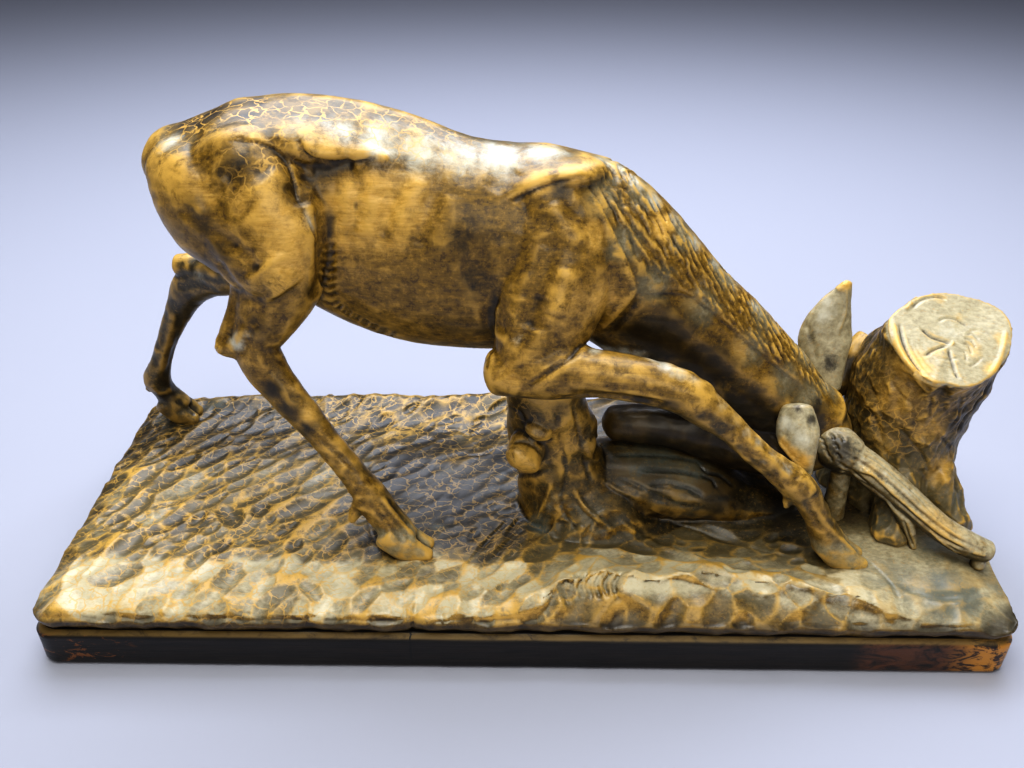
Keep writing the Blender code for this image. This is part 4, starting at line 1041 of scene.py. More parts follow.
# Painted shade in the recesses by the hip, the shoulder and the elbow, under the belly and down the throat,
# with real dark stain on the rump.
STAG_SHADE_AND_STAIN = [
    (26, 1.0, 660, 340, 700, 370, 620, 420, 680, 430), (24, 1.0, 740, 410), (24, 0.62, 474, 280),
    (22, 0.55, 462, 236), (20, 1.0, 770, 440), (18, 0.6, 452, 330), (16, 0.9, 215, 113), (16, 0.8, 248, 107),
    (16, 0.45, 490, 205), (14, 0.9, 630, 330, 190, 122), (14, 0.7, 286, 106, 210, 300), (14, 0.6, 180, 230),
    (14, 0.45, 506, 236), (14, 0.3, 434, 270), (13, 0.75, 236, 162), (12, 1.0, 850, 372),
    (12, 0.7, 204, 226, 216, 250, 205, 262, 260, 330, 186, 300), (12, 0.6, 236, 274, 324, 112, 230, 124),
    (12, 0.5, 660, 300, 270, 128, 655, 275), (12, 0.4, 690, 280), (10, 0.9, 842, 392),
    (10, 0.8, 168, 396, 640, 405, 820, 470, 870, 380), (10, 0.7, 224, 174, 288, 190, 190, 330),
    (10, 0.6, 262, 168, 192, 200, 320, 182), (10, 0.5, 400, 334, 560, 215, 620, 190, 330, 330),
    (10, 0.4, 540, 215), (9, 0.9, 272, 390, 288, 412), (9, 0.8, 304, 434), (9, 0.7, 562, 190, 482, 330),
    (8, 0.8, 790, 440), (8, 0.7, 300, 200, 322, 458, 342, 484, 590, 402, 488, 352),
    (8, 0.6, 325, 172, 206, 142, 225, 262), (8, 0.5, 240, 370, 812, 520), (7, 0.9, 600, 398, 640, 402),
    (7, 0.8, 672, 406), (7, 0.7, 310, 290), (7, 0.5, 300, 330, 385, 520), (6, 0.6, 700, 416),
    (6, 0.5, 340, 190),
]
STAG_CRACKLE = [
    (26, 1.0, 250, 110, 300, 112), (24, 0.9, 350, 118), (22, 1.0, 200, 120), (22, 0.8, 400, 128),
    (20, 0.8, 260, 150), (18, 0.6, 450, 138), (16, 0.8, 160, 150), (16, 0.5, 250, 190), (14, 0.5, 620, 170),
]
GROUND_TONES = {
    "gold": [
        (34, 0.9, 200, 500), (30, 0.9, 130, 530), (30, 0.8, 260, 490), (26, 0.9, 300, 540, 700, 596),
        (26, 0.8, 600, 600), (26, 0.7, 240, 440), (24, 0.9, 100, 560), (24, 0.6, 900, 400),
        (22, 1.0, 440, 395), (22, 0.9, 500, 604), (22, 0.8, 560, 604), (22, 0.5, 480, 540),
        (20, 1.0, 480, 392), (20, 0.9, 400, 392), (20, 0.8, 790, 608, 740, 600), (18, 0.6, 930, 430),
        (18, 0.5, 400, 430, 880, 440), (16, 0.9, 640, 520), (16, 0.8, 910, 370),
        (16, 0.7, 860, 620, 560, 440), (16, 0.6, 350, 392), (16, 0.4, 440, 480), (14, 0.9, 350, 565),
        (14, 0.8, 680, 530), (14, 0.7, 940, 470), (12, 0.9, 370, 575), (12, 0.7, 530, 465),
        (10, 0.8, 890, 570, 880, 600), (10, 0.7, 580, 420),
    ],
    # Cream wood on the front cuts and the bank, brightened as painted sheen.
    "pale_wear_and_sheen": [
        (20, 1.0, 110, 578), (16, 1.0, 85, 594),
        (16, 0.8, 150, 596, 210, 590, 252, 566, 390, 592, 545, 560, 600, 550), (16, 0.7, 470, 590, 510, 580),
        (14, 1.0, 740, 578), (14, 0.9, 340, 586, 690, 564, 790, 588), (14, 0.8, 310, 596, 640, 552),
        (14, 0.7, 270, 600), (14, 0.6, 430, 590), (14, 0.5, 180, 550, 570, 530),
        (14, 0.4, 300, 560, 520, 540), (12, 0.9, 840, 598), (12, 0.5, 60, 600, 556, 505),
        (12, 0.3, 230, 520, 900, 580), (11, 0.8, 310, 500), (10, 0.7, 880, 600), (10, 0.4, 660, 580),
    ],
    # Dark stain and painted shade on the open ground under the belly and by the log.
    "dark_stain_and_shade": [
        (34, 0.9, 400, 470), (30, 0.9, 450, 500), (30, 0.8, 720, 490), (30, 0.6, 650, 476),
        (26, 0.6, 360, 430), (26, 0.5, 300, 450), (24, 0.6, 230, 410), (22, 0.8, 440, 440),
        (20, 0.5, 330, 400), (18, 0.6, 620, 470, 150, 430), (16, 1.0, 500, 460), (16, 0.8, 780, 510),
        (16, 0.5, 170, 450, 430, 550), (14, 1.0, 520, 410), (14, 0.9, 840, 480), (12, 0.9, 480, 430),
        (12, 0.8, 960, 420, 840, 430), (12, 0.6, 100, 510, 850, 520), (12, 0.5, 910, 520),
        (10, 0.6, 860, 400), (10, 0.4, 970, 560),
    ],
    "grey": [
        (34, 0.8, 650, 460), (30, 0.8, 700, 480), (26, 0.9, 950, 590), (26, 0.7, 900, 580),
        (26, 0.5, 440, 470), (22, 0.8, 940, 550), (22, 0.5, 400, 540), (20, 0.7, 170, 420),
        (20, 0.5, 400, 560), (18, 0.7, 990, 580), (18, 0.5, 780, 516, 430, 530), (16, 0.7, 960, 500),
        (16, 0.6, 220, 404), (16, 0.5, 860, 540), (14, 0.9, 840, 400), (14, 0.7, 880, 520),
        (14, 0.5, 130, 470, 600, 500), (12, 0.8, 540, 524), (12, 0.5, 500, 475), (10, 0.5, 516, 440),
    ],
    "crackle": [
        (30, 1.0, 440, 400), (30, 0.5, 260, 440), (26, 1.0, 390, 400), (26, 0.7, 900, 420),
        (24, 1.0, 480, 400), (20, 0.7, 340, 410), (20, 0.6, 400, 440), (18, 0.7, 560, 440),
        (10, 0.4, 520, 500),
    ],
}
# The sawn face and the bark.
FACE_GOLD = [
    (8, 0.7, 992, 370, 964, 392), (8, 0.55, 976, 352), (8, 0.5, 940, 296), (7, 0.7, 1002, 340),
    (7, 0.6, 908, 352, 926, 384), (7, 0.5, 936, 352), (7, 0.4, 960, 318),
]
# Painted sheen on the sawn face.
FACE_SHEEN = [
    (12, 0.5, 950, 330), (9, 0.4, 978, 338),
]
BARK_DARK = [
    (10, 0.5, 905, 450, 870, 450), (9, 0.5, 935, 470), (8, 0.6, 868, 410), (8, 0.4, 900, 400),
    (6, 0.9, 988, 388, 976, 408), (6, 0.8, 962, 428), (6, 0.7, 950, 446),
]
# Dark is painted shade in the hollow by the burr; the light patches are painted highlights along the beam's
# top.
ANTLER_TONES = {
    "dark_stain_and_shade": [(16, 0.8, 840, 450), (14, 1.0, 815, 500), (10, 0.5, 880, 500)],
    "gold": [(20, 0.6, 940, 525), (9, 0.5, 870, 470)],
    "pale_wear_and_sheen": [(5, 0.6, 884, 474, 908, 492), (5, 0.5, 862, 462)],
}
# The light patches are painted sheen on the ear's face.
NEAR_EAR_TONES = {
    "pale_wear_and_sheen": [(8, 0.8, 800, 440), (8, 0.7, 788, 424)],
    "gold": [(7, 1.0, 792, 454, 802, 462), (6, 1.0, 784, 444)],
    "dark_stain_and_shade": [(5, 0.8, 812, 420), (5, 0.7, 796, 408)],
}
# Painted highlights: the gold spots are light along the rim and the light patches a strip of sheen down the
# middle; the dark is painted shade in the hollow.
FAR_EAR_TONES_AND_HIGHLIGHTS = {
    "pale_wear_and_sheen": [(8, 0.7, 824, 316), (7, 0.7, 828, 304), (6, 0.5, 820, 330)],
    "gold": [(5, 1.0, 845, 284), (4, 0.8, 852, 300)],
    "dark_stain_and_shade": [(9, 0.7, 830, 362), (7, 0.6, 812, 338), (6, 0.5, 806, 318)],
}


def spread(values, pairs, steps):
    """Every vertex takes the mean of itself and its neighbours along edges, this many times."""
    first, second = pairs.T
    count = len(values)
    shares = 1.0 + np.bincount(first, minlength=count) + np.bincount(second, minlength=count)
    columns = np.array(values, dtype=float).reshape(count, -1).T
    for step in range(steps):
        columns = np.array([(column + np.bincount(first, column[second], count)
                             + np.bincount(second, column[first], count)) / shares for column in columns])
    return columns.T.reshape(np.shape(values))


def patches(carving, rows):
    """The strongest of round soft patches at each vertex: rows of radius, strength and pixels."""
    spots = [(*place, radius, strength) for radius, strength, *pixels in rows
             for place in carving.found(np.reshape(pixels, (-1, 2)))]
    return nearness(carving.points, spots)


def paint(obj, name, values):
    """Keep a value for each vertex under a name."""
    attribute = obj.data.attributes.new(name, "FLOAT", "POINT")
    attribute.data.foreach_set("value", np.ascontiguousarray(values, dtype=np.float32))


def painted(obj, name):
    """The values kept under a name."""
    values = np.empty(len(obj.data.vertices), dtype=np.float32)
    obj.data.attributes[name].data.foreach_get("value", values)
    return values


def wear(carving):
    """Worn edges, and hollows darkened both as wax left in them and as painted shade, from how far each
    vertex stands over its smoothed surroundings.
    """
    pairs = carving.edges()
    close = carving.points - spread(carving.points, pairs, 4)
    wide = carving.points - spread(carving.points, pairs, 60)
    sharp = np.einsum("ij,ij->i", close, carving.normals)
    broad = np.einsum("ij,ij->i", wide, carving.normals)
    ridge = eased((spread(sharp, pairs, 1) - 0.03) / 0.22) + 0.3 * eased((broad - 0.8) / 2.2)
    hollow_wax_and_shade = eased((-spread(sharp, pairs, 1) - 0.07) / 0.26) + 0.8 * eased((-broad - 0.65) / 1.7)
    return np.clip(ridge, 0.0, 1.0), np.clip(hollow_wax_and_shade, 0.0, 1.0)


def finished(carving, tones, own):
    """Write the piece's masks: worn ridges, hollows darkened both as wax and as painted shade, and each kind
    of patch.

    Each piece has its own masks: earth, where the stain is an olive grey rather than brown, and light,
    how far that grey goes towards cream. It may have flat, where the ground lies open; low, where its edge
    runs down into the groove and is darkened there as painted shadow; scooped, along the ridges between gouge
    cuts; net, how far those ridges are rubbed to gold; cracked, where fine golden lines cross the stain;
    still, where nothing is rubbed; and shaded, where painted shade lies.
    """
    ridge, hollow_wax_and_shade = wear(carving)
    names = ("gold", "pale_wear_and_sheen", "dark_stain_and_shade", "grey", "crackle")
    masks = {name: patches(carving, tones.get(name, [])) for name in names}
    nothing = np.zeros(len(ridge))
    flat, low, scooped, net, still, shaded, cracked = [
        own.get(name, nothing) for name in ("flat", "low", "scooped", "net", "still", "shaded", "cracked")]
    worn = 1.0 - 0.85 * still
    # Painted shade: faces that turn downwards are darkened.
    under = eased((-carving.normals[:, 2] - 0.05) / 0.7)
    masks["dark_stain_and_shade"] = np.max([masks["dark_stain_and_shade"], 0.6 * under * (1.0 - flat), shaded], axis=0)
    rubbed = np.maximum((0.35 * ridge * flat + ridge * (1.0 - flat)) * worn, scooped * net)
    masks["ridge"] = rubbed * (1.0 - 0.9 * np.clip(1.3 * masks["dark_stain_and_shade"] - 0.2, 0.0, 1.0)) * (1.0 - 0.9 * low)
    masks["gold"] = masks["gold"] * (1.0 - 0.9 * flat) * worn
    masks["crackle"] = np.maximum(masks["crackle"], cracked)
    masks["hollow_wax_and_shade"] = np.maximum(hollow_wax_and_shade * (1.0 - 0.85 * flat), low)
    masks["pale_wear_and_sheen"] = masks["pale_wear_and_sheen"] * (1.0 - 0.7 * flat)
    masks["earth"] = own["earth"]
    masks["light"] = own["light"]
    for name, values in masks.items():
        paint(carving.obj, name, values)
    carving.obj.data.polygons.foreach_set("use_smooth", np.ones(len(carving.obj.data.polygons), dtype=bool))
    return carving.obj


def linear(hex_colour):
    """An sRGB hex colour as linear red, green and blue with full alpha."""
    shares = [int(hex_colour[i:i + 2], 16) / 255.0 for i in (1, 3, 5)]
    return [c / 12.92 if c <= 0.04045 else ((c + 0.055) / 1.055) ** 2.4 for c in shares] + [1.0]


def per_metre(*sizes):
    """How many times each size in millimetres goes into a metre."""
    return [1000.0 / size for size in sizes]


class Finish:
    """A material, whose nodes are added one at a time."""

    def __init__(self, name):
        self.material = bpy.data.materials.new(name)
        self.material.use_nodes = True
        self.tree = self.material.node_tree
        self.shader = self.tree.nodes["Principled BSDF"]
        self.place = self.add("TexCoord", {}, "Object")

    def add(self, kind, inputs, output=0, **settings):
        """Add a node with its settings and links, and give back one of its outputs."""
        node = self.tree.nodes.new("ShaderNode" + kind)
        for key, value in settings.items():
            setattr(node, key, value)
        self.give(node, inputs)
        return node.outputs[output]

    def give(self, node, inputs):
        """Link each input to a socket, or set it to a value."""
        for key, value in inputs.items():
            if isinstance(value, bpy.types.NodeSocket):
                self.tree.links.new(value, node.inputs[key])
            else:
                node.inputs[key].default_value = value

    def clouds(self, sizes, detail, rough, warp=0.0):
        """An uneven pattern with clouds of these sizes in millimetres: noise on scaled object coordinates."""
        place = self.add("Mapping", {"Vector": self.place, "Scale": per_metre(*sizes)})
        return self.add("TexNoise", {"Vector": place, "Scale": 1.0, "Detail": detail,
                                     "Roughness": rough, "Distortion": warp})

    def stirred(self, mask, pattern, strength):
        """A mask with a pattern added about its middle, which breaks up the mask's edge."""
        lowered = self.add("Math", {0: mask, 1: 0.5 * strength}, operation="SUBTRACT")
        return self.add("Math", {0: pattern, 1: strength, 2: lowered}, operation="MULTIPLY_ADD")

    def laid(self, under, over, *factors):
        """One tone laid over another, as far as the product of the factors.

        A factor is a number, a socket, or a value with its low and high: 0 below low, 1 above high and
        the smooth step between. A low over the high turns it round.
        """
        cover = 1.0
        for factor in factors:
            if isinstance(factor, tuple):
                value, low, high = factor
                factor = self.add("MapRange", {"Value": value, "From Min": low, "From Max": high},
                                  interpolation_type="SMOOTHSTEP")
            cover = self.add("Math", {0: cover, 1: factor}, operation="MULTIPLY")
        under, over = [linear(tone) if isinstance(tone, str) else tone for tone in (under, over)]
        return self.add("Mix", {0: cover, 6: under, 7: over}, 2, data_type="RGBA")

    def waxed(self, tone, rough, coat, coat_rough, height):
        """The material with its tone, its roughness, a coat of wax and its finest relief."""
        bump = self.add("Bump", {"Strength": 0.5, "Distance": 0.0004, "Height": height})
        self.give(self.shader, {"Base Color": tone, "Roughness": rough, "Coat Weight": coat,
                                "Coat Roughness": coat_rough, "Normal": bump})
        return self.material


def stained_wood():
    """Carved limewood, stained golden brown to black, waxed, and rubbed bare on its edges.

    The fibre runs along the block, in threads 1.3 mm wide and 22 mm long, drawn coarser than real ones so
    that they show. The stain is darker in clouds of 24 mm and flecks of 3 mm. The wax gives a soft sheen.
    """
    wood = Finish("stained_waxed_wood")
    fibre = wood.clouds((22.0, 1.3, 1.3), 5.0, 0.65)
    clouds = wood.clouds((24.0, 24.0, 24.0), 6.0, 0.62, 0.5)
    flecks = wood.clouds((3.4, 2.2, 3.4), 5.0, 0.7, 0.2)
    rubs = wood.clouds((8.0, 8.0, 8.0), 7.0, 0.72, 0.4)
    specks = wood.clouds((1.9, 1.4, 1.9), 3.0, 0.6)
    names = ("earth", "light", "gold", "grey", "dark_stain_and_shade", "pale_wear_and_sheen", "crackle", "hollow_wax_and_shade", "ridge")
    masks = {name: wood.add("Attribute", {}, "Fac", attribute_name=name) for name in names}
    ragged = {name: wood.stirred(masks[name], clouds if name == "grey" else rubs, 1.1)
              for name in ("earth", "gold", "grey", "dark_stain_and_shade", "pale_wear_and_sheen")}

    # Net of fine cracks in the old varnish: cells of 8.5 by 6 mm, bent by a swirl of 6 mm.
    place = wood.add("Mapping", {"Vector": wood.place, "Scale": per_metre(8.5, 6.0, 8.5)})
    eddies = wood.add("Mapping", {"Vector": wood.place, "Scale": per_metre(6.0, 6.0, 6.0)})
    swirl = wood.add("TexNoise", {"Vector": eddies, "Scale": 1.0}, 1)
    bent = wood.add("VectorMath", {0: place, 1: swirl}, operation="ADD")
    cracks = wood.add("TexVoronoi", {"Vector": bent, "Scale": 1.0}, "Distance", feature="DISTANCE_TO_EDGE")

    light = wood.stirred(masks["light"], flecks, 0.5)
    olive = wood.laid("#131309", "#665D42", (light, 0.0, 0.55))
    olive = wood.laid(olive, "#C8C0A2", (light, 0.5, 1.05))
    gold = wood.laid("#C4983C", "#EEC670", (fibre, 0.20, 0.80))
    tone = wood.laid("#5B450F", "#8B6C20", (fibre, 0.20, 0.85))
    tone = wood.laid(tone, "#36240A", (flecks, 0.50, 0.38), 0.7)
    tone = wood.laid(tone, "#C2993F", (flecks, 0.54, 0.66), 0.35)
    tone = wood.laid(tone, "#2E1F09", (clouds, 0.50, 0.70), 0.5)
    tone = wood.laid(tone, olive, (ragged["earth"], 0.35, 0.75), 0.94)
    tone = wood.laid(tone, gold, (ragged["gold"], 0.26, 0.95), 0.9)
    tone = wood.laid(tone, "#5A6058", (ragged["grey"], 0.40, 0.85), 0.8)
    tone = wood.laid(tone, "#B48C42", (specks, 0.56, 0.70), 0.3)
    # Dark stain and painted shade.
    tone = wood.laid(tone, "#181208", (ragged["dark_stain_and_shade"], 0.35, 0.80), 0.92)
    # Pale wear and painted sheen over the tone.
    tone = wood.laid(tone, "#D2D2C4", (ragged["pale_wear_and_sheen"], 0.28, 1.05), 0.85)
    tone = wood.laid(tone, "#CBA350", (cracks, 0.075, 0.01), (rubs, 0.36, 0.56), masks["crackle"])
    # Wax in the hollows, and painted shade there.
    tone = wood.laid(tone, "#130C05", masks["hollow_wax_and_shade"], (clouds, 0.15, 0.50), 0.85)
    tone = wood.laid(tone, "#CFA853", masks["ridge"], (rubs, 0.30, 0.54), 0.85)

    rough = wood.add("MapRange", {"Value": rubs, "To Min": 0.34, "To Max": 0.58})
    fine, coarse = [wood.add("Math", {0: pattern, 1: share}, operation="MULTIPLY")
                    for pattern, share in ((fibre, 0.5), (flecks, 0.6))]
    height = wood.add("Math", {0: fine, 1: coarse}, operation="ADD")
    return wood.waxed(tone, rough, 0.35, 0.26, height)


def band_finish():
    """The plinth band: the same wood stained nearly black, worn to brown at one end and along its edge.

    The places of the wear are metres in the frame: x along the band, y to its back, z up.
    """
    wood = Finish("black_stained_wood")
    fibre = wood.clouds((30.0, 1.6, 1.6), 5.0, 0.65)
    rubs = wood.clouds((14.0, 7.0, 7.0), 6.0, 0.72, 1.0)
    x, y, z = [wood.add("SeparateXYZ", {0: wood.place}, axis) for axis in range(3)]
    front = (y, -0.080, -0.092)
    wander = wood.add("Math", {0: rubs, 1: 0.004, 2: 0.0595}, operation="MULTIPLY_ADD")
    beside = wood.add("Math", {0: x, 1: wander}, operation="ADD")
    from_crack = wood.add("Math", {0: beside}, operation="ABSOLUTE")
    tone = wood.laid("#0D0A08", "#1E1711", (fibre, 0.35, 0.7))
    tone = wood.laid(tone, "#5A3720", (x, 0.175, 0.19), (x, 0.275, 0.262), (rubs, 0.35, 0.6))
    tone = wood.laid(tone, "#B98334", (x, 0.225, 0.25), (rubs, 0.44, 0.52), front)
    tone = wood.laid(tone, "#8A5522", (x, -0.20, -0.235), (rubs, 0.56, 0.61), front, 0.7)
    tone = wood.laid(tone, "#7C6534", (z, 0.0212, 0.0224), (rubs, 0.2, 0.55), 0.85)
    tone = wood.laid(tone, "#0D0A08", (z, 0.0239, 0.0243))
    tone = wood.laid(tone, "#020201", (from_crack, 0.0007, 0.0003), front)
    return wood.waxed(tone, 0.46, 0.1, 0.3, fibre)


def plinth_band():
    """The band as rings: a rounded rectangle stepped in for the soft foot, the chamfer and the top."""
    half_length, half_depth = 0.5 * PLINTH_LENGTH / UNIT, 0.5 * PLINTH_DEPTH / UNIT
    height, chamfer, foot = BAND_HEIGHT / UNIT, BAND_CHAMFER / UNIT, FOOT_ROUNDING / UNIT
    profile = [(foot, 0.0), (0.5 * foot, 0.2 * foot), (0.15 * foot, 0.5 * foot), (0.0, foot)]
    profile += [(0.0, z) for z in np.linspace(foot, height - chamfer, 12)[1:]]
    profile += [(0.5 * chamfer, height - 0.5 * chamfer), (chamfer, height), (2.0 * chamfer, height)]
    rings = []
    for inset, z in profile:
        outline = rounded_rectangle(half_length - inset, half_depth - inset, CORNER_RADIUS / UNIT, 900)
        dent = 0.25 * waves(np.column_stack([outline, np.full(len(outline), z)]), 40.0, 3) - 0.3
        outline = outline + unit(outline) * dent[:, None]
        rings.append(np.column_stack([outline, np.full(len(outline), z)]))
    rings = np.array(rings) * UNIT
    return skin(rings)


def added(piece, material):
    """Keep a finished piece inside the solid's box, give it its material and its body, and hide the solid
    that it stands for.
    """
    kept_inside(piece)
    piece.data.materials.clear()
    piece.data.materials.append(material)
    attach(piece, "root")
    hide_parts("stag_carving")


def kept_inside(obj):
    """Hold every vertex inside the solid's own box."""
    low, high = np.array(solid_box[0]), np.array(solid_box[1])
    flat = np.empty(len(obj.data.vertices) * 3)
    obj.data.vertices.foreach_get("co", flat)
    points = np.clip(flat.reshape(-1, 3), low + BOX_MARGIN, high - BOX_MARGIN)
    points[:, 2] = np.maximum(points[:, 2], low[2])
    obj.data.vertices.foreach_set("co", points.ravel())
    obj.data.update()


def carved_stag():
    """The animal: melted, calmed, stroked, marked, tufted and faceted, then thinned and finished."""
    legs = near_hind_leg() + far_hind_leg() + near_foreleg() + far_foreleg() + hooves()
    skins = [torso(), neck(), head()] + bony_points() + legs + far_antler()
    stag = Carving(melted("carved_stag", skins, STAG_VOXEL, STAG_RELAX))
    calmed(stag, CALM_SPOTS, CALM_STEPS)
    stag.keep()
    for path, radius, height in body_strokes():
        stroke(stag, np.array(path, dtype=float), radius, height)
    stag.write()
    marked(stag, BODY_MARKS)
    mirrored(stag, BODY_MARKS[:MIRRORED_MARKS], FAR_MARK_SHARE)
    stag.write()
    tufts(stag)
    mane(stag)
    tooled(stag, size=9.0, depth=0.35, seed=5)
    before = stag.points.copy()
    tooled(stag, size=9.0, depth=0.7, seed=12)
    faded(stag, before, ramp(before[:, 2], 140, 120) * (before[:, 2] > DRAWN_GROUND))
    stag.points += stag.normals * (0.25 * waves(stag.points, size=30.0, seed=2))[:, None]
    stag.write()
    thinned(stag.obj)
    stag.refresh()
    tones = {"gold": STAG_GOLD, "pale_wear_and_sheen": STAG_SHEEN, "dark_stain_and_shade": STAG_SHADE_AND_STAIN, "crackle": STAG_CRACKLE}
    x, y, z = stag.points.T
    legs = ramp(z, 165, 135)
    foot = ramp(z, 72, 59)
    # Painted shade: the sides of the legs that face down and towards the head are darker, in their stain and
    # in shaded below.
    turned = eased((0.6 * stag.normals[:, 0] - 0.7 * stag.normals[:, 2] + 0.35) / 0.8)
    back = 0.6 * eased((stag.normals[:, 2] - 0.5) / 0.4) * ramp(z, 240, 260)
    far = 0.9 * ramp(y, 20, 40) * ramp(z, 220, 180)
    under_mane = np.array(MANE_TOP + MANE_FOOT) + [4, 8]
    coat = patches(stag, [(15, 0.9, *under_mane.ravel())])
    stain = np.max([legs * (0.3 + 0.55 * turned), back, far, 0.9 * foot, coat], axis=0)
    light = 0.2 + 0.25 * back + 0.5 * foot * (1.0 - far) + 0.5 * coat
    # Painted shade over the head, tucked under the neck where no light reaches.
    hidden_in_shade = ramp(y, -36, -28) * ramp(x, 22, 36) * ramp(x, 176, 162) * ramp(z, 136, 114)
    head_shade = nearness(stag.points, HEAD_SHADE)
    # shaded is painted shade throughout: the legs' turned sides, the far legs, the tucked head and the spots
    # round it.
    shaded = np.max([0.75 * legs * turned * (1.0 - foot), 0.6 * far * legs, hidden_in_shade, head_shade], axis=0)
    return finished(stag, tones, {"earth": stain, "light": light, "shaded": shaded})


def carved_ground():
    """The earth, the stump under the chest and the log: scooped, cut and faceted, then finished."""
    skins = [ground_block()] + prop_stump() + fallen_log()
    ground = Carving(melted("carved_ground", skins, GROUND_VOXEL, GROUND_RELAX))
    ground.keep()
    before = ground.points.copy()
    x, y, z = before.T
    scooped, cut_tone_and_sheen = ground_scoops(ground)
    level = eased((OPEN_GROUND_TOP - z) / 3.0)
    prop = np.hypot(x - PROP_X, (y - PROP_Y) / PROP_DEEPER) < PROP_REACH
    level[prop & (z > DRAWN_GROUND + 8.0)] = 0.0
    faded(ground, before, level)
    ground.write()
    marked(ground, GROUND_MARKS)
    for u, v in BANK_FINS:
        path = ground.found([(u + 6, v), (u - 2, v + 14), (u + 2, v + 30)])
        stroke(ground, path, 2.0, -2.6, "cut")
    ground.write()
    face = eased((0.75 - ground.normals[:, 2]) / 0.3)
    before = ground.points.copy()
    tooled(ground, size=12.0, depth=1.6, seed=9)
    faded(ground, before, face)
    ground.write()
    marked(ground, PROP_MARKS + LOG_MARKS)
    ground.write()
    paint(ground.obj, "scooped", scooped * level)
    paint(ground.obj, "cut_tone_and_sheen", cut_tone_and_sheen)
    thinned(ground.obj)
    ground.refresh()
    scooped, cut_tone_and_sheen = [painted(ground.obj, name) for name in ("scooped", "cut_tone_and_sheen")]
    x, y, z = ground.points.T
    flat = eased((ground.normals[:, 2] - 0.22) / 0.4) * (z < OPEN_GROUND_TOP)
    rim = bank_line(x)[0]
    front = eased((-52.0 - y + 7.0 * waves(ground.points, size=30.0, seed=21)) / 18.0) * ramp(x, 44, -6)
    from_crest = y - rim - 4.0
    width = np.where(from_crest > 0.0, 36.0, 21.0)
    bank = np.exp(-(from_crest / width) ** 2) * ramp(x, -40, 10) * ramp(x, 196, 180)
    left = ramp(x, -70, -120) * ramp(x, -272, -252) * ramp(y, 50, 10)
    back = ramp(y, 30, 55) * ramp(x, 40, 0) * ramp(x, -190, -130)
    right = ramp(x, 150, 180) * ramp(y, -20, -50)
    log = np.exp(-((x - LOG_X) / LOG_LONG) ** 4 - ((y - LOG_Y) / LOG_WIDE) ** 4)
    face_of_bank = eased((rim - y - 6.0) / 5.0) * ramp(x, -14, 6) * ramp(x, 204, 190)
    light = np.max([0.82 * front, 0.95 * bank, 0.46 * left, 0.20 * back, 0.76 * right], axis=0)
    uneven = 0.1 + 0.3 * np.max([front, bank, left, 0.6 * back], axis=0)
    # The cut's tone, partly painted sheen, varies how light each cut's grey is.
    patchy = cut_tone_and_sheen - 0.5 + 0.35 * waves(ground.points, size=26.0, seed=31)
    # The log is darkened as painted shade under the head, over its own dark grey.
    light = light * (1.0 - 0.9 * log) + uneven * patchy
    open_ground = flat * (1.0 - 0.4 * face_of_bank)
    upright = (z > DRAWN_GROUND + 4.0) * (1.0 - flat)
    sides = 0.3 * (1.0 - log) * (1.0 - open_ground)
    rubbed = np.max([front, 0.9 * bank, left, 0.9 * back], axis=0)
    cracked = 0.75 * np.max([left, back, 0.6 * front, 0.55 * ramp(x, 30, -10)], axis=0) * (1.0 - log)
    return finished(ground, GROUND_TONES, {
        "flat": open_ground,
        # Painted shadow where the edge runs down into the groove.
        "low": eased((DRAWN_GROUND - 6.0 - z) / 5.0),
        "scooped": scooped,
        "light": np.clip(light, 0.0, 1.0) * open_ground + sides + 0.12 * log,
        "still": log,
        "net": np.clip(rubbed + 0.2, 0.0, 1.0),
        "cracked": cracked,
        "earth": np.max([open_ground, 0.62 * upright, log], axis=0),
    })


def carved_stump():
    """The sawn stump: its face drawn out to its lobes, its bark faceted, then marked and finished."""
    stump = Carving(melted("tree_stump", tree_stump(), STUMP_VOXEL, STUMP_RELAX))
    middle, lean = np.array([233.0, -4.0, 157.0]), unit(np.array([1.0, -7.0, 15.0]))
    over = (stump.points - middle) @ lean
    out = stump.points[:, :2] - middle[:2]
    reach = np.interp(np.degrees(np.arctan2(out[:, 1], out[:, 0])), FACE_TURNS, FACE_REACHES, period=360.0)
    share = ramp(over, -36, -4)
    stump.points[:, :2] = middle[:2] + out * (1.0 + share * (reach - 1.0))[:, None]
    stump.write()
    stump.keep()
    face = over > -2.5
    before = stump.points.copy()
    tooled(stump, size=13.0, depth=2.6, seed=4)
    tooled(stump, size=6.0, depth=0.9, seed=8)
    stump.points += stump.normals * (0.9 * waves(stump.points * [1.0, 1.0, 0.35], size=16.0, seed=6))[:, None]
    stump.points[face] = before[face]
    stump.write()
    marked(stump, STUMP_MARKS)
    stump.write()
    thinned(stump.obj)
    stump.refresh()
    tones = {**GROUND_TONES, "gold": GROUND_TONES["gold"] + FACE_GOLD, "pale_wear_and_sheen": FACE_SHEEN,
             "dark_stain_and_shade": GROUND_TONES["dark_stain_and_shade"] + BARK_DARK}
    foot = ramp(stump.points[:, 2], 125, 65)
    sawn = eased(((stump.points - middle) @ lean + 4.0) / 2.0)
    return finished(stump, tones, {"earth": np.maximum(0.6 + 0.3 * foot, sawn),
                                   "light": 0.14 + 0.4 * foot + 0.68 * sawn})


def small_piece(name, skins, marks):
    """An antler or an ear, melted finely, marked and faceted."""
    piece = Carving(melted(name, skins, SMALL_VOXEL, SMALL_RELAX))
    piece.keep()
    marked(piece, marks)
    piece.write()
    tooled(piece, size=5.0, depth=SMALL_RELIEF, seed=3)
    piece.write()
    return piece


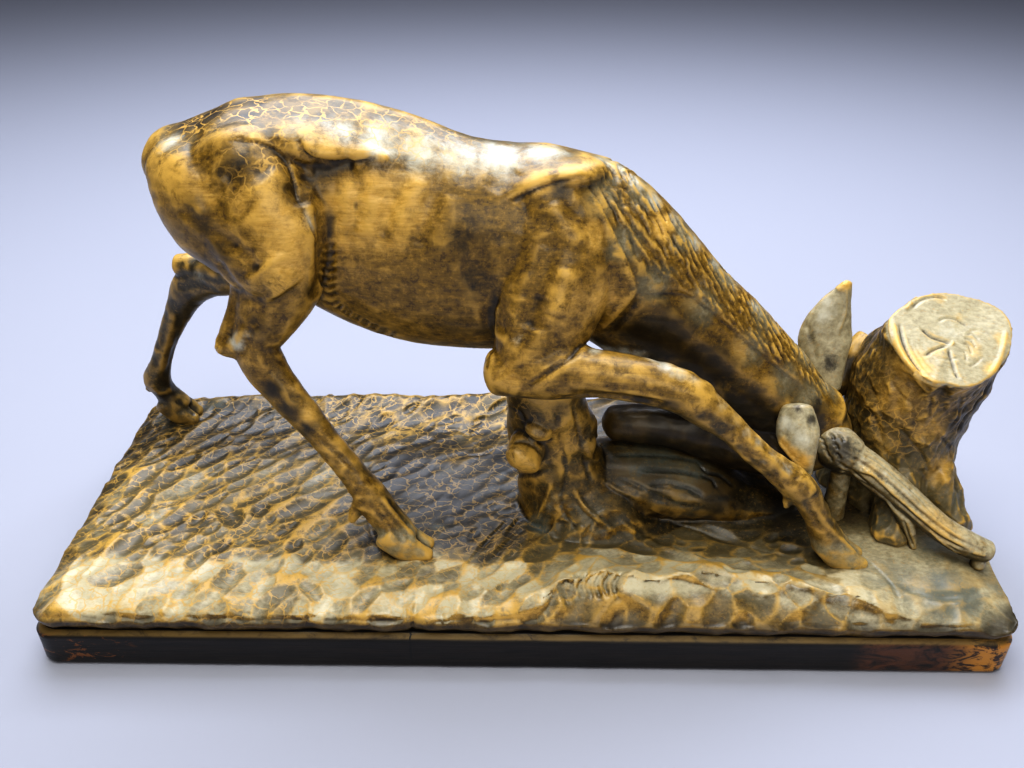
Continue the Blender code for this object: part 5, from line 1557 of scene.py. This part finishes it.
def carved_antler():
    """The near antler with its nicks and wrinkles; its upper side is painted lighter, as highlight, and its
    lower side darker, as painted shade.
    """
    antler = small_piece("near_antler", near_antler(), ANTLER_MARKS)
    for u, v in ANTLER_NICKS:
        stroke(antler, antler.found([(u, v - 2), (u - 1, v + 4)]), 0.9, -0.6, "cut")
    for u, v in BURR_WRINKLES:
        stroke(antler, antler.found([(u - 3, v - 3), (u + 1, v), (u + 2, v + 4)]), 1.4, -1.0, "cut")
    antler.write()
    # Painted light: faces that turn up are lighter, faces that turn down are shaded.
    above = eased((antler.normals[:, 2] - 0.25 * antler.normals[:, 1] + 0.25) / 0.9)
    return finished(antler, ANTLER_TONES, {"earth": np.full(len(antler.points), 0.66),
                                           "light": 0.4 + 0.45 * above, "shaded": 0.7 * (1.0 - above)})


def carved_ear(name, skins, tones):
    """An ear in the light olive grey that both have all over."""
    ear = small_piece(name, skins, EAR_MARKS)
    every = np.ones(len(ear.points))
    return finished(ear, tones, {"earth": 0.95 * every, "light": 0.78 * every})


def smooth_band():
    """The plinth band as a piece, shaded smooth."""
    band = new_object("plinth_band", *plinth_band())
    band.data.polygons.foreach_set("use_smooth", np.ones(len(band.data.polygons), dtype=bool))
    return band


wood = stained_wood()
added(carved_stag(), wood)
added(carved_ground(), wood)
added(carved_stump(), wood)
added(carved_antler(), wood)
added(carved_ear("near_ear", near_ear(), NEAR_EAR_TONES), wood)
added(carved_ear("far_ear", far_ear(), FAR_EAR_TONES_AND_HIGHLIGHTS), wood)
added(smooth_band(), band_finish())


def floor():
    """A plain pale floor that rises far behind as a wall."""
    side, back, top, bend = 6.0, 3.2, 3.0, 0.9
    turn = np.radians(np.linspace(-90.0, 0.0, 16))
    curve = [(back - bend + bend * math.cos(a), bend + bend * math.sin(a)) for a in turn]
    line = [(-side, 0.0)] + curve + [(back, top)]
    vertices = [(x, y, z) for y, z in line for x in (-side, side)]
    faces = [(2 * i, 2 * i + 1, 2 * i + 3, 2 * i + 2) for i in range(len(line) - 1)]
    obj = new_object("floor", np.array(vertices), faces)
    obj.data.polygons.foreach_set("use_smooth", np.ones(len(faces), dtype=bool))
    paper = Finish("matt_paper")
    paper.give(paper.shader, {"Base Color": linear("#A2A5B2"), "Roughness": 0.85})
    obj.data.materials.append(paper.material)


def soft_light(name, place, aim, size, power, colour):
    """A rectangle of light at a place, turned to its aim: size in metres, power in watts."""
    light = bpy.data.lights.new(name, "AREA")
    light.shape = "RECTANGLE"
    light.size, light.size_y = size
    light.energy = power
    light.color = linear(colour)[:3]
    obj = bpy.data.objects.new(name, light)
    obj.location = place
    obj.rotation_euler = (Vector(aim) - Vector(place)).to_track_quat("-Z", "Y").to_euler()
    bpy.context.scene.collection.objects.link(obj)


floor()
soft_light("sky", (0.02, 0.62, 1.28), (0.05, 0.0, 0.08), (1.7, 0.9), 25.0, "#EAEFFC")
soft_light("overhead", (-0.1, -0.25, 1.5), (0.0, 0.0, 0.1), (1.0, 0.8), 14.0, "#FFFDF6")
soft_light("front_fill", (0.25, -1.7, 0.9), (0.0, 0.0, 0.12), (1.4, 0.9), 9.5, "#FFF6E6")
world = bpy.data.worlds.new("soft_grey")
world.use_nodes = True
world.node_tree.nodes["Background"].inputs["Color"].default_value = linear("#B9BCC6")
world.node_tree.nodes["Background"].inputs["Strength"].default_value = 0.24
bpy.context.scene.world = world
bpy.context.scene.view_settings.view_transform = "Standard"
bpy.context.scene.view_settings.look = "High Contrast"

camera = bpy.data.cameras.new("photo_camera")
camera.sensor_width = SENSOR
camera.lens = FOCAL_PIXELS / PHOTO_WIDTH * SENSOR
camera.clip_start = 0.01
view = bpy.data.objects.new("photo_camera", camera)
view.matrix_world = Matrix.Translation(CAMERA_PLACE) @ camera_axes().to_4x4()
bpy.context.scene.collection.objects.link(view)
bpy.context.scene.camera = view
bpy.context.view_layer.update()
